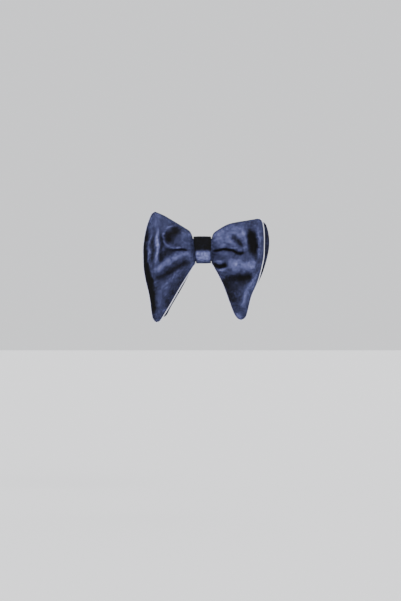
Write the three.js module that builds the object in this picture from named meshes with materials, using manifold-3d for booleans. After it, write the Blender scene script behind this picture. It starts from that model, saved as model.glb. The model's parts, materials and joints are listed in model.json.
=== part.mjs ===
// A pre-tied butterfly bow tie: two gathered velvet bows, one behind the other, held by a knot,
// on an adjustable neckband with a slider and a hook-and-eye clasp.
// Millimetres, +Z up. The front of the bow faces -Y. The origin is the centre of the knot's flat
// back face, which rests on the collar. The neckband's loop is horizontal and lies behind it.
import * as THREE from 'three';
import { mergeVertices } from 'three/addons/utils/BufferGeometryUtils.js';
import Module from 'manifold-3d';

const wasm = await Module();
wasm.setup();

// ---- the bows: reach is from the knot's centre outwards, rise above it and drop below it
const FRONT_LEFT_REACH = 61.4;
const FRONT_RIGHT_REACH = 63.6;
const FRONT_LEFT_RISE = 39.6;
const FRONT_RIGHT_RISE = 32.4;
const FRONT_LEFT_DROP = 75;
const FRONT_RIGHT_DROP = 72.6;
const REAR_LEFT_REACH = 60;
const REAR_RIGHT_REACH = 69.2;
const REAR_LEFT_RISE = 37.6;
const REAR_RIGHT_RISE = 30.6;
const REAR_LEFT_DROP = 70.4;
const REAR_RIGHT_DROP = 68.5;

const FACE_CLOTH = 1.0; // velvet, pile and backing
const INTERLINING = 0.8;
const LAYER_GAP = 0.3; // between pieces that touch
const BOW_SPREAD = 1.3; // extra room between the two bows, away from the knot
const WAIST_HALF = 8.2; // half height of the gathered waist
const WAIST_LENGTH = 6; // straight part of the waist, under the binding
const PUFF_PEAK = 27; // and are fullest here
const FRONT_PUFF = 6.5;
const FRONT_BACK_PUFF = 2.2;
const REAR_PUFF = 1.0;
const PIPING_RADIUS = 0.4;

// ---- the knot
const KNOT_HALF = 14; // half height
const KNOT_TOP_LEFT = 9.6;
const KNOT_BOTTOM_LEFT = 6.7;
const KNOT_TOP_RIGHT = 9.0;
const KNOT_BOTTOM_RIGHT = 8.8;
const KNOT_CORNER = 3; // radius between its flat back and its ends
const WRAP_CLOTH = 1.4;
const BINDING = 0.8;
const BINDING_WIDTH = 4;
const PAD_THICKNESS = 1.5;
const PAD_HALF = 8.5;
const PAD_WIDTH = 12;

// ---- the neckband and its fittings
const NECK_GIRTH = 380;
const BAND_WIDTH = 18;
const BAND_THICKNESS = 1.2;
const FLEX_ANGLE = 27; // degrees round the loop, where each half bends away from the knot
const FLEX_GAP = 1.0;
const TAIL_LENGTH = 12; // turned-back end of the band, sewn down
const BAR_WIDTH = 1.6;
const METAL = 0.9;
const RAIL = 1.6; // metal beside the band
const SIDE_GAP = 0.4; // between the band's edge and a rail
const SLOT_LENGTH = 3.8; // along the band, in front of a strap bar
const CLASP_WEB = 3; // metal between a strap slot and the hook or the eye
const EYE_WINDOW = 5.6;
const HOOK_TONGUE = 11.4;
const HOOK_WIDTH = 8;
const HOOK_CLEARANCE = 0.6; // between the hook and the window's sides
const HOOK_RETURN = 5; // length of the turned-back end
const HOOK_MOUTH = 1.6; // room inside the hook
const CLASP_GAP = 1.5; // between the two noses, unhooked
const SLIDER_ANGLE = 132; // degrees round the loop
const SLIDER_LENGTH = 15;
const LABEL_LENGTH = 22;
const LABEL_WIDTH = 12;
const LABEL_CLOTH = 0.5;
const LABEL_ANGLE = -92;
const TACK = 0.8; // thickness and width of a row of stitches
const TACK_LENGTH = 14;
const TACK_PLACE = 8; // from a strap bar
const SEAM_LENGTH = 11; // hand stitches under the knot
const SEAM_STITCHES = 5;
const SEAM_THREAD = 0.5;

// ---- what follows from them
const BOW_DEPTH = 2 * FACE_CLOTH + INTERLINING + 2 * LAYER_GAP;
const BAND_BACK = -WRAP_CLOTH - LAYER_GAP;
const BAND_MIDDLE = BAND_BACK - BAND_THICKNESS / 2;
const BINDING_BACK = BAND_BACK - BAND_THICKNESS - LAYER_GAP;
const REAR_MIDDLE = BINDING_BACK - BINDING - LAYER_GAP - BOW_DEPTH / 2;
const FRONT_MIDDLE = REAR_MIDDLE - BOW_DEPTH - LAYER_GAP;
const BINDING_FRONT = FRONT_MIDDLE - BOW_DEPTH / 2 - LAYER_GAP - BINDING;
const PAD_BACK = BINDING_FRONT - LAYER_GAP;
const WRAP_INNER_FRONT = PAD_BACK - PAD_THICKNESS - LAYER_GAP;
const KNOT_SHOULDER = FRONT_MIDDLE + 1; // where the knot's straight sides end and its front bulges
const MOUTH_MARGIN = 0.4; // beside the knot's ends, where the wings leave it
const MOUTH_HALF = KNOT_HALF - WRAP_CLOTH - 0.9; // half height of the wings there
const PUFF_START = KNOT_TOP_LEFT + MOUTH_MARGIN; // the puffs start this far out from the centre
const LOOP_RADIUS = NECK_GIRTH / (2 * Math.PI);
const LOOP_CENTRE = BAND_MIDDLE + LOOP_RADIUS;
const LOOP_BEND = BAR_WIDTH / 2 + LAYER_GAP + BAND_THICKNESS / 2; // round a strap bar
const BAR_OFFSET = -LOOP_BEND; // the clasp's strap bars sit this far inside the band
const LAYER_STEP = BAND_THICKNESS + LAYER_GAP; // from one layer of band to the next
const SLOT_HALF = BAND_WIDTH / 2 + SIDE_GAP;
const PLATE_HALF = SLOT_HALF + RAIL;
const SLOT_END = BAR_WIDTH / 2 + SLOT_LENGTH;
const EYE_LENGTH = SLOT_END + CLASP_WEB + EYE_WINDOW + RAIL; // from the strap bar to the nose
const HOOK_LENGTH = SLOT_END + CLASP_WEB + HOOK_TONGUE;
const WINDOW_HALF = HOOK_WIDTH / 2 + HOOK_CLEARANCE;

const NAVY = new THREE.Color('#2a3154');
const velvet = new THREE.MeshStandardMaterial({ color: NAVY, roughness: 0.9 });
const backing = new THREE.MeshStandardMaterial({ color: '#1c2238', roughness: 0.85 });
const canvas = new THREE.MeshStandardMaterial({ color: '#d8d2c4', roughness: 0.95 });
const cord = new THREE.MeshStandardMaterial({ color: '#c9cbe0', roughness: 0.6 });
const ribbon = new THREE.MeshStandardMaterial({ color: '#1a1e33', roughness: 0.55 });
const thread = new THREE.MeshStandardMaterial({ color: '#20263f', roughness: 0.7 });
const nickel = new THREE.MeshStandardMaterial({ color: '#b9bbbd', roughness: 0.3, metalness: 1 });
const satin = new THREE.MeshStandardMaterial({ color: '#e8e6e1', roughness: 0.4 });

const bowTie = new THREE.Group();

function add(name, geometry, material, parent = bowTie) {
  const mesh = new THREE.Mesh(geometry, material);
  mesh.name = name;
  parent.add(mesh);
  return mesh;
}

const mix = (a, b, t) => a + (b - a) * t;
const clamp = (t) => Math.min(1, Math.max(0, t));
const smooth = (t) => clamp(t) ** 2 * (3 - 2 * clamp(t));
const range = (count, from, to) =>
  [...Array(count + 1).keys()].map((i) => mix(from, to, i / count));
const radians = THREE.MathUtils.degToRad;

// Cloth between a front and a back face. Each strip is one station along it, with the points of
// its front face and of its back face, from the lower edge to the upper one. Stations run towards
// +X where the front faces -Y. A loop's last strip joins its first.
function cloth(strips, loop = false) {
  const rows = strips[0].front.length;
  const points = strips.flatMap((strip) => [...strip.front, ...strip.back]);
  const faces = [];
  const quad = (a, b, c, d) => faces.push(a, b, c, a, c, d);
  const front = (i, j) => (i % strips.length) * 2 * rows + j;
  const back = (i, j) => front(i, j) + rows;
  const last = loop ? strips.length : strips.length - 1;
  for (let i = 0; i < last; i++) {
    for (let j = 0; j < rows - 1; j++) {
      quad(front(i, j), front(i + 1, j), front(i + 1, j + 1), front(i, j + 1));
      quad(back(i, j), back(i, j + 1), back(i + 1, j + 1), back(i + 1, j));
    }
    quad(front(i, 0), back(i, 0), back(i + 1, 0), front(i + 1, 0));
    quad(front(i, rows - 1), front(i + 1, rows - 1), back(i + 1, rows - 1), back(i, rows - 1));
  }
  if (!loop) {
    for (let j = 0; j < rows - 1; j++) {
      quad(front(0, j), front(0, j + 1), back(0, j + 1), back(0, j));
      quad(front(last, j), back(last, j), back(last, j + 1), front(last, j + 1));
    }
  }
  const geometry = new THREE.BufferGeometry();
  geometry.setAttribute(
    'position',
    new THREE.Float32BufferAttribute(points.flatMap((p) => [p.x, p.y, p.z]), 3),
  );
  geometry.setIndex(faces);
  return geometry;
}

function solid(geometry) {
  const plain = geometry.clone();
  plain.deleteAttribute('normal');
  plain.deleteAttribute('uv');
  const merged = mergeVertices(plain, 1e-4);
  return new wasm.Manifold(
    new wasm.Mesh({
      numProp: 3,
      vertProperties: merged.attributes.position.array,
      triVerts: new Uint32Array(merged.index.array),
    }),
  );
}

function geometryOf(body) {
  const mesh = body.getMesh();
  const geometry = new THREE.BufferGeometry();
  geometry.setAttribute('position', new THREE.BufferAttribute(new Float32Array(mesh.vertProperties), 3));
  geometry.setIndex(new THREE.BufferAttribute(new Uint32Array(mesh.triVerts), 1));
  return geometry;
}

const join = (...geometries) => geometryOf(geometries.map(solid).reduce((a, b) => a.add(b)));

// The knot's ends, which slope in towards its lower side.
const knotLeft = (z) => -mix(KNOT_BOTTOM_LEFT, KNOT_TOP_LEFT, (z / KNOT_HALF + 1) / 2);
const knotRight = (z) => mix(KNOT_BOTTOM_RIGHT, KNOT_TOP_RIGHT, (z / KNOT_HALF + 1) / 2);

// ---- wings
// Each wing's outline has three edges: top and lower run from the knot's mouth to the wing's
// corners, and outer runs from the lower corner up to the top one. Points are shares of the wing's
// reach, and of its rise (above zero) or its drop (below zero).
const OUTLINES = {
  frontLeft: {
    side: -1,
    reach: FRONT_LEFT_REACH,
    rise: FRONT_LEFT_RISE,
    drop: FRONT_LEFT_DROP,
    top: [[0.24, 0.49], [0.52, 0.775], [0.66, 0.91], [0.8, 1]],
    outer: [
      [0.78, -1], [0.85, -0.9], [0.895, -0.64], [0.98, -0.32],
      [1, -0.005], [0.98, 0.29], [0.94, 0.6], [0.87, 0.96], [0.8, 1],
    ],
    lower: [[0.17, -0.24], [0.37, -0.5], [0.56, -0.77], [0.69, -0.945], [0.78, -1]],
  },
  frontRight: {
    side: 1,
    reach: FRONT_RIGHT_REACH,
    rise: FRONT_RIGHT_RISE,
    drop: FRONT_RIGHT_DROP,
    top: [[0.23, 0.6], [0.43, 0.83], [0.72, 0.94], [0.9, 1]],
    outer: [
      [0.63, -1], [0.71, -0.94], [0.79, -0.67], [0.9, -0.44], [0.985, -0.14],
      [1, 0.15], [0.995, 0.6], [0.965, 0.92], [0.9, 1],
    ],
    lower: [[0.2, -0.26], [0.34, -0.5], [0.5, -0.875], [0.57, -0.975], [0.63, -1]],
  },
  rearLeft: {
    side: -1,
    reach: REAR_LEFT_REACH,
    rise: REAR_LEFT_RISE,
    drop: REAR_LEFT_DROP,
    top: [[0.27, 0.54], [0.65, 0.91], [0.8, 1]],
    outer: [
      [0.7, -1], [0.82, -0.93], [0.9, -0.62], [0.975, -0.33],
      [1, -0.01], [0.95, 0.55], [0.88, 0.94], [0.8, 1],
    ],
    lower: [[0.19, -0.29], [0.345, -0.545], [0.54, -0.83], [0.62, -0.96], [0.7, -1]],
  },
  rearRight: {
    side: 1,
    reach: REAR_RIGHT_REACH,
    rise: REAR_RIGHT_RISE,
    drop: REAR_RIGHT_DROP,
    top: [[0.25, 0.68], [0.5, 0.9], [0.82, 1], [0.9, 0.97]],
    outer: [
      [0.58, -1], [0.65, -0.94], [0.71, -0.78], [0.78, -0.61], [0.9, -0.35],
      [0.985, -0.05], [1, 0.38], [0.96, 0.82], [0.9, 0.97],
    ],
    lower: [[0.19, -0.29], [0.33, -0.55], [0.47, -0.9], [0.52, -0.98], [0.58, -1]],
  },
};
const WING_COLUMNS = 10;
const WING_ROWS = 8;

// The wing's flat shape in XZ: a patch spanned by its four edges, from the knot's mouth (u = 0) to
// its outer edge (u = 1), and from its lower edge (v = 0) to its top (v = 1).
function wingPatch(outline) {
  const place = ([along, up]) =>
    new THREE.Vector2(
      outline.side * along * outline.reach,
      up * (up > 0 ? outline.rise : outline.drop),
    );
  const knotEdge = outline.side < 0 ? knotLeft : knotRight;
  const mouth = (z) => {
    const margin = outline.side * MOUTH_MARGIN;
    return new THREE.Vector2(knotEdge(Math.sign(z) * KNOT_HALF) + margin, z);
  };
  const top = new THREE.SplineCurve([mouth(MOUTH_HALF), ...outline.top.map(place)]);
  const lower = new THREE.SplineCurve([mouth(-MOUTH_HALF), ...outline.lower.map(place)]);
  const outer = new THREE.SplineCurve(outline.outer.map(place));
  return (u, v) => {
    const ruledUp = lower.getPointAt(u).lerp(top.getPointAt(u), v);
    const ruledOut = lower.getPoint(0).lerp(top.getPoint(0), v).lerp(outer.getPointAt(v), u);
    const low = lower.getPoint(0).lerp(lower.getPoint(1), u);
    const flat = low.lerp(top.getPoint(0).lerp(top.getPoint(1), u), v);
    return ruledUp.add(ruledOut).sub(flat);
  };
}

// Both wings of a bow and the waist between them, as columns of flat points from left to right.
function bowColumns(left, right) {
  const rows = range(WING_ROWS, 0, 1);
  const wing = (outline, steps) => {
    const patch = wingPatch(outline);
    return steps.map((u) => rows.map((v) => ({ u, v, flat: patch(u, v) })));
  };
  const waist = (side) => {
    const x = (side * WAIST_LENGTH) / 2;
    return rows.map((v) => ({ u: 0, v, flat: new THREE.Vector2(x, (2 * v - 1) * WAIST_HALF) }));
  };
  return [
    ...wing(left, range(WING_COLUMNS, 1, 0)),
    waist(-1),
    waist(1),
    ...wing(right, range(WING_COLUMNS, 0, 1)),
  ];
}

const frontColumns = bowColumns(OUTLINES.frontLeft, OUTLINES.frontRight);
const rearColumns = bowColumns(OUTLINES.rearLeft, OUTLINES.rearRight);

// How full the bow is here: nothing at its seams and in the knot, most at the puffs.
function fullness({ u, v, flat }) {
  const out = Math.abs(flat.x);
  const rise = smooth((out - PUFF_START) / (PUFF_PEAK - PUFF_START));
  return rise * (1 - 0.75 * smooth((u - 0.4) / 0.6)) * Math.sin(Math.PI * v) ** 0.7;
}

const spread = (x) => smooth((Math.abs(x) - PUFF_START) / PUFF_PEAK) * BOW_SPREAD;

// One layer of a bow: its two faces are depth and depth + thickness behind the bow's front.
function bowLayer(columns, middle, spreadSign, depth, thickness, puff, inset = 0) {
  const kept = inset ? columns.slice(inset, -inset) : columns;
  const face = (column, extra) =>
    (inset ? column.slice(inset, -inset) : column).map((cell) => {
      const plane = middle + (spreadSign * spread(cell.flat.x)) / 2;
      const y = plane - BOW_DEPTH / 2 + depth + extra - puff * fullness(cell);
      return new THREE.Vector3(cell.flat.x, y, cell.flat.y);
    });
  return cloth(kept.map((column) => ({ front: face(column, 0), back: face(column, thickness) })));
}

const INNER_DEPTH = FACE_CLOTH + LAYER_GAP;
const BACK_DEPTH = INNER_DEPTH + INTERLINING + LAYER_GAP;
for (const [name, columns, middle, sign, puff, backPuff] of [
  ['front_bow', frontColumns, FRONT_MIDDLE, -1, FRONT_PUFF, FRONT_BACK_PUFF],
  ['rear_bow', rearColumns, REAR_MIDDLE, 1, REAR_PUFF, 0],
]) {
  add(`${name}_face`, bowLayer(columns, middle, sign, 0, FACE_CLOTH, puff), velvet);
  add(`${name}_interlining`, bowLayer(columns, middle, sign, INNER_DEPTH, INTERLINING, puff, 1), canvas);
  add(`${name}_back`, bowLayer(columns, middle, sign, BACK_DEPTH, FACE_CLOTH, backPuff), backing);
}

// The piping runs in the front bow's seam: along each wing's lower edge and up its outer edge.
function piping(outline) {
  const patch = wingPatch(outline);
  const stand = PIPING_RADIUS + LAYER_GAP;
  const rim = [];
  for (let i = 1; i <= WING_COLUMNS; i++) rim.push([i / WING_COLUMNS, 0]);
  for (let j = 1; j <= WING_ROWS; j++) rim.push([1, j / WING_ROWS]);
  const flat = rim.map(([u, v]) => patch(u, v));
  const path = flat.map((point, i) => {
    const before = flat[Math.max(0, i - 1)];
    const after = flat[Math.min(flat.length - 1, i + 1)];
    const along = after.clone().sub(before).normalize();
    const out = new THREE.Vector2(along.y, -along.x).multiplyScalar(outline.side * stand);
    const placed = point.clone().add(out);
    return new THREE.Vector3(placed.x, FRONT_MIDDLE - spread(placed.x) / 2, placed.y);
  });
  const section = new THREE.Shape();
  section.absarc(0, 0, PIPING_RADIUS, 0, 2 * Math.PI);
  return new THREE.ExtrudeGeometry(section, {
    steps: 2 * path.length,
    curveSegments: 4,
    extrudePath: new THREE.CatmullRomCurve3(path),
  });
}
add('front_piping_left', piping(OUTLINES.frontLeft), cord);
add('front_piping_right', piping(OUTLINES.frontRight), cord);

// ---- knot
// The knot's section in YZ, grown or shrunk by inset: a flat back, round corners, straight ends and
// a full front. Points run from the lower end of the flat back round the front.
const FRONT_POWER = 2 / 3; // squarer than an ellipse
const CORNER_STEPS = 3;
const BULGE_STEPS = 14;
function knotSection(inset) {
  const half = KNOT_HALF - inset;
  const corner = KNOT_CORNER - inset;
  const depth = KNOT_SHOULDER - (WRAP_INNER_FRONT - WRAP_CLOTH) - inset;
  const points = [];
  for (let i = 0; i <= CORNER_STEPS; i++) {
    const turn = (i / CORNER_STEPS) * (Math.PI / 2);
    points.push([
      -KNOT_CORNER + corner * Math.cos(turn),
      -(KNOT_HALF - KNOT_CORNER) - corner * Math.sin(turn),
    ]);
  }
  for (let i = 0; i <= BULGE_STEPS; i++) {
    const turn = (i / BULGE_STEPS - 0.5) * Math.PI;
    points.push([
      KNOT_SHOULDER - depth * Math.abs(Math.cos(turn)) ** FRONT_POWER,
      half * Math.sign(turn) * Math.abs(Math.sin(turn)) ** FRONT_POWER,
    ]);
  }
  const lowerCorner = points.slice(0, CORNER_STEPS + 1).toReversed();
  return [...points, ...lowerCorner.map(([y, z]) => [y, -z])];
}

function knotWrap() {
  const inner = knotSection(WRAP_CLOTH);
  const across = [0, 1 / 3, 2 / 3, 1];
  const face = ([y, z]) =>
    across.map((t) => new THREE.Vector3(mix(knotLeft(z), knotRight(z), t), y, z)).toReversed();
  return cloth(
    knotSection(0).map((outer, i) => ({ front: face(outer), back: face(inner[i]) })),
    true,
  );
}
add('knot_wrap', knotWrap(), velvet);

// The binding is a flat tape wound tight round both waists, inside the wrap.
function gatherBinding() {
  const half = WAIST_HALF + LAYER_GAP + BINDING;
  const outline = (inset) => {
    const corner = 1.2 - inset;
    const low = -half + 1.2;
    const ends = [
      [BINDING_BACK - 1.2, low, 0],
      [BINDING_FRONT + 1.2, low, 1],
      [BINDING_FRONT + 1.2, -low, 2],
      [BINDING_BACK - 1.2, -low, 3],
    ];
    return ends.flatMap(([y, z, quarter]) =>
      [0, 0.5, 1].map((t) => {
        const turn = ((quarter + t) * Math.PI) / 2;
        return [y + corner * Math.cos(turn), z - corner * Math.sin(turn)];
      }),
    );
  };
  const edge = ([y, z]) =>
    [BINDING_WIDTH / 2, -BINDING_WIDTH / 2].map((x) => new THREE.Vector3(x, y, z));
  const inner = outline(BINDING);
  return cloth(
    outline(0).map((outer, i) => ({ front: edge(outer), back: edge(inner[i]) })),
    true,
  );
}
add('gather_binding', gatherBinding(), thread);

// The pad fills the knot's front, between the binding and the wrap.
function knotPad() {
  const depth = KNOT_SHOULDER - WRAP_INNER_FRONT;
  const stations = range(6, -PAD_WIDTH / 2, PAD_WIDTH / 2);
  const heights = range(8, -PAD_HALF, PAD_HALF);
  const front = (z) => {
    const share = 1 - (Math.abs(z) / (KNOT_HALF - WRAP_CLOTH)) ** (2 / FRONT_POWER);
    return KNOT_SHOULDER - depth * share ** (FRONT_POWER / 2) + LAYER_GAP;
  };
  return cloth(
    stations.map((x) => ({
      front: heights.map((z) => new THREE.Vector3(x, front(z), z)),
      back: heights.map((z) => new THREE.Vector3(x, PAD_BACK, z)),
    })),
  );
}
add('knot_pad', knotPad(), canvas);

// The wrap's ends are closed by hand under the knot, with one zigzag thread.
function seamStitches() {
  const level = -KNOT_HALF - LAYER_GAP - SEAM_THREAD / 2;
  const path = [...Array(2 * SEAM_STITCHES + 1).keys()].map((i) => {
    const x = SEAM_LENGTH * (i / (2 * SEAM_STITCHES) - 0.5);
    return new THREE.Vector2(x, REAR_MIDDLE + (i % 2 ? TACK : -TACK));
  });
  return webbing(path, SEAM_THREAD, SEAM_THREAD).translate(0, 0, level);
}

// ---- neckband
// A place on the loop: degrees round it from the knot towards +X, and how far outside the band.
function onLoop(degrees, out = 0) {
  const turn = radians(degrees);
  const reach = LOOP_RADIUS + out;
  return new THREE.Vector2(reach * Math.sin(turn), LOOP_CENTRE - reach * Math.cos(turn));
}
const degreesOf = (length) => THREE.MathUtils.radToDeg(length / LOOP_RADIUS);

// Webbing along a path in XY, standing upright, half its thickness to each side of the path.
function webbing(path, width = BAND_WIDTH, thickness = BAND_THICKNESS) {
  return cloth(
    path.map((point, i) => {
      const before = path[Math.max(0, i - 1)];
      const after = path[Math.min(path.length - 1, i + 1)];
      const along = after.clone().sub(before).normalize();
      const side = (sign) =>
        [-width / 2, width / 2].map((z) => {
          const place = (sign * thickness) / 2;
          return new THREE.Vector3(point.x + place * along.y, point.y - place * along.x, z);
        });
      return { front: side(1), back: side(-1) };
    }),
  );
}
add('knot_seam_stitches', seamStitches(), thread);

const mirrored = (path) => path.map((point) => new THREE.Vector2(-point.x, point.y));

// Straight through the knot, then curving round to each half of the loop.
function bandCentre() {
  const straight = Math.max(KNOT_TOP_LEFT, KNOT_TOP_RIGHT) + 1;
  const end = onLoop(FLEX_ANGLE - degreesOf(FLEX_GAP / 2));
  const handle = (end.x - straight) / 3;
  const turn = radians(FLEX_ANGLE);
  const curve = new THREE.CubicBezierCurve(
    new THREE.Vector2(straight, BAND_MIDDLE),
    new THREE.Vector2(straight + handle, BAND_MIDDLE),
    end.clone().sub(new THREE.Vector2(handle * Math.cos(turn), handle * Math.sin(turn))),
    end,
  );
  const right = curve.getPoints(7);
  return webbing([...mirrored(right).toReversed(), ...right]);
}
add('band_centre', bandCentre(), ribbon);

// The band turned back round a strap bar, on the side that turn points to (1 away from the knot).
function turnedBack(barDegrees, turn, offset, tailOffset) {
  const bend = range(8, 0, Math.PI).map((angle) => {
    const forward = turn * degreesOf(LOOP_BEND * Math.sin(angle));
    return onLoop(barDegrees + forward, offset - LOOP_BEND + LOOP_BEND * Math.cos(angle));
  });
  const tail = range(8, 0, TAIL_LENGTH)
    .slice(1)
    .map((s) => {
      const sink = smooth((s - BAR_WIDTH / 2) / (TAIL_LENGTH / 2));
      return onLoop(
        barDegrees - turn * degreesOf(s),
        mix(offset - 2 * LOOP_BEND, tailOffset, sink),
      );
    });
  return [...bend, ...tail];
}

// Degrees round the loop at which a strap bar lies, so that its plate ends at the clasp's middle.
function barDegrees(plateLength) {
  const chord = plateLength + CLASP_GAP / 2;
  return 180 - 2 * THREE.MathUtils.radToDeg(Math.asin(chord / (2 * (LOOP_RADIUS + BAR_OFFSET))));
}
const EYE_BAR = barDegrees(EYE_LENGTH);
const HOOK_BAR = barDegrees(HOOK_LENGTH);

function bandHalf(bar) {
  const start = FLEX_ANGLE + degreesOf(FLEX_GAP / 2);
  const run = range(26, start, bar).slice(0, -1).map((degrees) => onLoop(degrees));
  return [...run, ...turnedBack(bar, 1, 0, -LAYER_STEP)];
}
add('band_left', webbing(mirrored(bandHalf(EYE_BAR))), ribbon);
add('band_right', webbing(bandHalf(HOOK_BAR)), ribbon);

// The right half's turned-back end runs on to the slider and is sewn round its middle bar.
function bandReturn() {
  const start = HOOK_BAR - degreesOf(TAIL_LENGTH + LAYER_GAP);
  const run = range(6, start, SLIDER_ANGLE).slice(0, -1).map((d) => onLoop(d, -LAYER_STEP));
  return [...run, ...turnedBack(SLIDER_ANGLE, -1, -LAYER_STEP, -2 * LAYER_STEP)];
}
add('band_return', webbing(bandReturn()), ribbon);

// A row of stitches across the band, on its inside.
function barTack(degrees, layers) {
  const out = -BAND_THICKNESS / 2 - (layers - 1) * LAYER_STEP - LAYER_GAP - TACK / 2;
  const half = degreesOf(TACK / 2);
  return webbing([onLoop(degrees - half, out), onLoop(degrees + half, out)], TACK_LENGTH, TACK);
}
add('bar_tack_left', barTack(-EYE_BAR + degreesOf(TACK_PLACE), 2), thread);
add('bar_tack_right', barTack(HOOK_BAR - degreesOf(TACK_PLACE), 2), thread);
add('bar_tack_slider', barTack(SLIDER_ANGLE + degreesOf(TACK_PLACE), 3), thread);

function careLabel() {
  const half = degreesOf(LABEL_LENGTH / 2);
  const out = -BAND_THICKNESS / 2 - LAYER_GAP - LABEL_CLOTH / 2;
  const path = range(6, LABEL_ANGLE - half, LABEL_ANGLE + half).map((d) => onLoop(d, out));
  return webbing(path, LABEL_WIDTH, LABEL_CLOTH);
}
add('care_label', careLabel(), satin);

// ---- slider and clasp
// The slider's rails dip from its two outer bars, outside the band, to its middle bar inside.
function slider() {
  const outside = BAND_THICKNESS / 2 + LAYER_GAP + METAL / 2;
  const inside = -LAYER_STEP - LOOP_BEND;
  const endBar = (SLIDER_LENGTH - BAR_WIDTH) / 2;
  const place = (along, out) => onLoop(SLIDER_ANGLE + degreesOf(along), out);
  const rail = range(14, -SLIDER_LENGTH / 2, SLIDER_LENGTH / 2).map((along) => {
    const rise = smooth((Math.abs(along) - BAR_WIDTH / 2) / (endBar - BAR_WIDTH));
    return place(along, mix(inside, outside, rise));
  });
  const bar = (along, out) =>
    webbing([-1, 0, 1].map((t) => place(along + (t * BAR_WIDTH) / 2, out)), 2 * PLATE_HALF, METAL);
  const railPlace = SLOT_HALF + RAIL / 2;
  return join(
    webbing(rail, RAIL, METAL).translate(0, 0, railPlace),
    webbing(rail, RAIL, METAL).translate(0, 0, -railPlace),
    bar(-endBar, outside),
    bar(0, inside),
    bar(endBar, outside),
  );
}
add('slider_frame', slider(), nickel);

function rectangle(x0, x1, half, radius) {
  const shape = new THREE.Shape();
  shape.absarc(x0 + radius, radius - half, radius, Math.PI, 1.5 * Math.PI);
  shape.absarc(x1 - radius, radius - half, radius, 1.5 * Math.PI, 2 * Math.PI);
  shape.absarc(x1 - radius, half - radius, radius, 0, 0.5 * Math.PI);
  shape.absarc(x0 + radius, half - radius, radius, 0.5 * Math.PI, Math.PI);
  return shape;
}

// A flat plate standing upright: the shape's plane is XZ and its middle is at y = 0.
function plate(shape) {
  const geometry = new THREE.ExtrudeGeometry(shape, {
    depth: METAL,
    bevelEnabled: false,
    curveSegments: 4,
  });
  return geometry.rotateX(Math.PI / 2).translate(0, METAL / 2, 0);
}

// A strap bar and slot, with the metal before and behind them. Local +X points to the other plate.
function strapPlate() {
  const shape = rectangle(-BAR_WIDTH / 2, SLOT_END + CLASP_WEB, PLATE_HALF, RAIL / 2);
  shape.holes.push(rectangle(BAR_WIDTH / 2, SLOT_END, SLOT_HALF, METAL / 2));
  return plate(shape);
}

function eyePlate() {
  const frame = rectangle(SLOT_END + CLASP_WEB / 2, EYE_LENGTH, WINDOW_HALF + RAIL, RAIL);
  frame.holes.push(rectangle(EYE_LENGTH - RAIL - EYE_WINDOW, EYE_LENGTH - RAIL, WINDOW_HALF, RAIL / 2));
  return join(strapPlate(), plate(frame));
}

// The hook's tongue turns back on itself, away from the neck.
function hookPlate() {
  const bend = (HOOK_MOUTH + METAL) / 2;
  const middle = HOOK_LENGTH - METAL / 2 - bend;
  const path = [
    new THREE.Vector2(SLOT_END + CLASP_WEB / 2, 0),
    ...range(8, 0, Math.PI).map(
      (turn) => new THREE.Vector2(middle + bend * Math.sin(turn), bend * Math.cos(turn) - bend),
    ),
    new THREE.Vector2(middle - HOOK_RETURN * 0.6, -2 * bend),
    new THREE.Vector2(middle - HOOK_RETURN, -2 * bend - METAL / 2),
  ];
  return join(strapPlate(), webbing(path, HOOK_WIDTH, METAL));
}

// A plate turns on its strap bar, and points to the middle of the clasp.
function claspSide(degrees) {
  const bar = onLoop(degrees, BAR_OFFSET);
  const middle = onLoop(180, BAR_OFFSET);
  const side = new THREE.Group();
  side.position.set(bar.x, bar.y, 0);
  side.rotation.z = Math.atan2(middle.y - bar.y, middle.x - bar.x);
  bowTie.add(side);
  return side;
}
add('eye_plate', eyePlate(), nickel, claspSide(-EYE_BAR));
add('hook_plate', hookPlate(), nickel, claspSide(HOOK_BAR));

export default bowTie;
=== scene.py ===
"""A pre-tied butterfly bow tie in navy velvet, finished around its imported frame.

Sizes are in millimetres until a mesh is made, and places come from the frame's nodes and joints.
The bow faces -Y, and the neckband's loop lies behind it.
"""

import json
import math
from typing import NamedTuple

import bmesh
import bpy
import numpy as np
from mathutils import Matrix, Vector


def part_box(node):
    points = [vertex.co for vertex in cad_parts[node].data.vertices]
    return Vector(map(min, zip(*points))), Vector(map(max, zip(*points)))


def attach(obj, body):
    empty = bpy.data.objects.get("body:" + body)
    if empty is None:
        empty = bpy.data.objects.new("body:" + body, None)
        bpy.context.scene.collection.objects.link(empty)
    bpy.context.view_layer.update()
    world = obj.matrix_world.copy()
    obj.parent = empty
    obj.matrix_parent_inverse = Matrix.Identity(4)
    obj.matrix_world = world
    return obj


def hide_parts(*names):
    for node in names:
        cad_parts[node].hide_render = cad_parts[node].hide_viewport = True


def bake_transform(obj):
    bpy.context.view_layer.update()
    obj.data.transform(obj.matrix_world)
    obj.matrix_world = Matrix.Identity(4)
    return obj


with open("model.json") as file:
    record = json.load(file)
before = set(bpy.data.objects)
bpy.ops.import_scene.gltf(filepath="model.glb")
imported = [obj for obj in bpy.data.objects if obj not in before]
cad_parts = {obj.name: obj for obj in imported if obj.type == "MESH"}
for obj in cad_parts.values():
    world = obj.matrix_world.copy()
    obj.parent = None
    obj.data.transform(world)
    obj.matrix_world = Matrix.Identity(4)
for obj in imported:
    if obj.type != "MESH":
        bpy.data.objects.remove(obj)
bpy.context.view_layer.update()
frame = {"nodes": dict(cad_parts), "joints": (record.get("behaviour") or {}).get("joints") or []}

MM = 0.001
VIEW_ROWS = 601  # the height of the finished view

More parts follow.
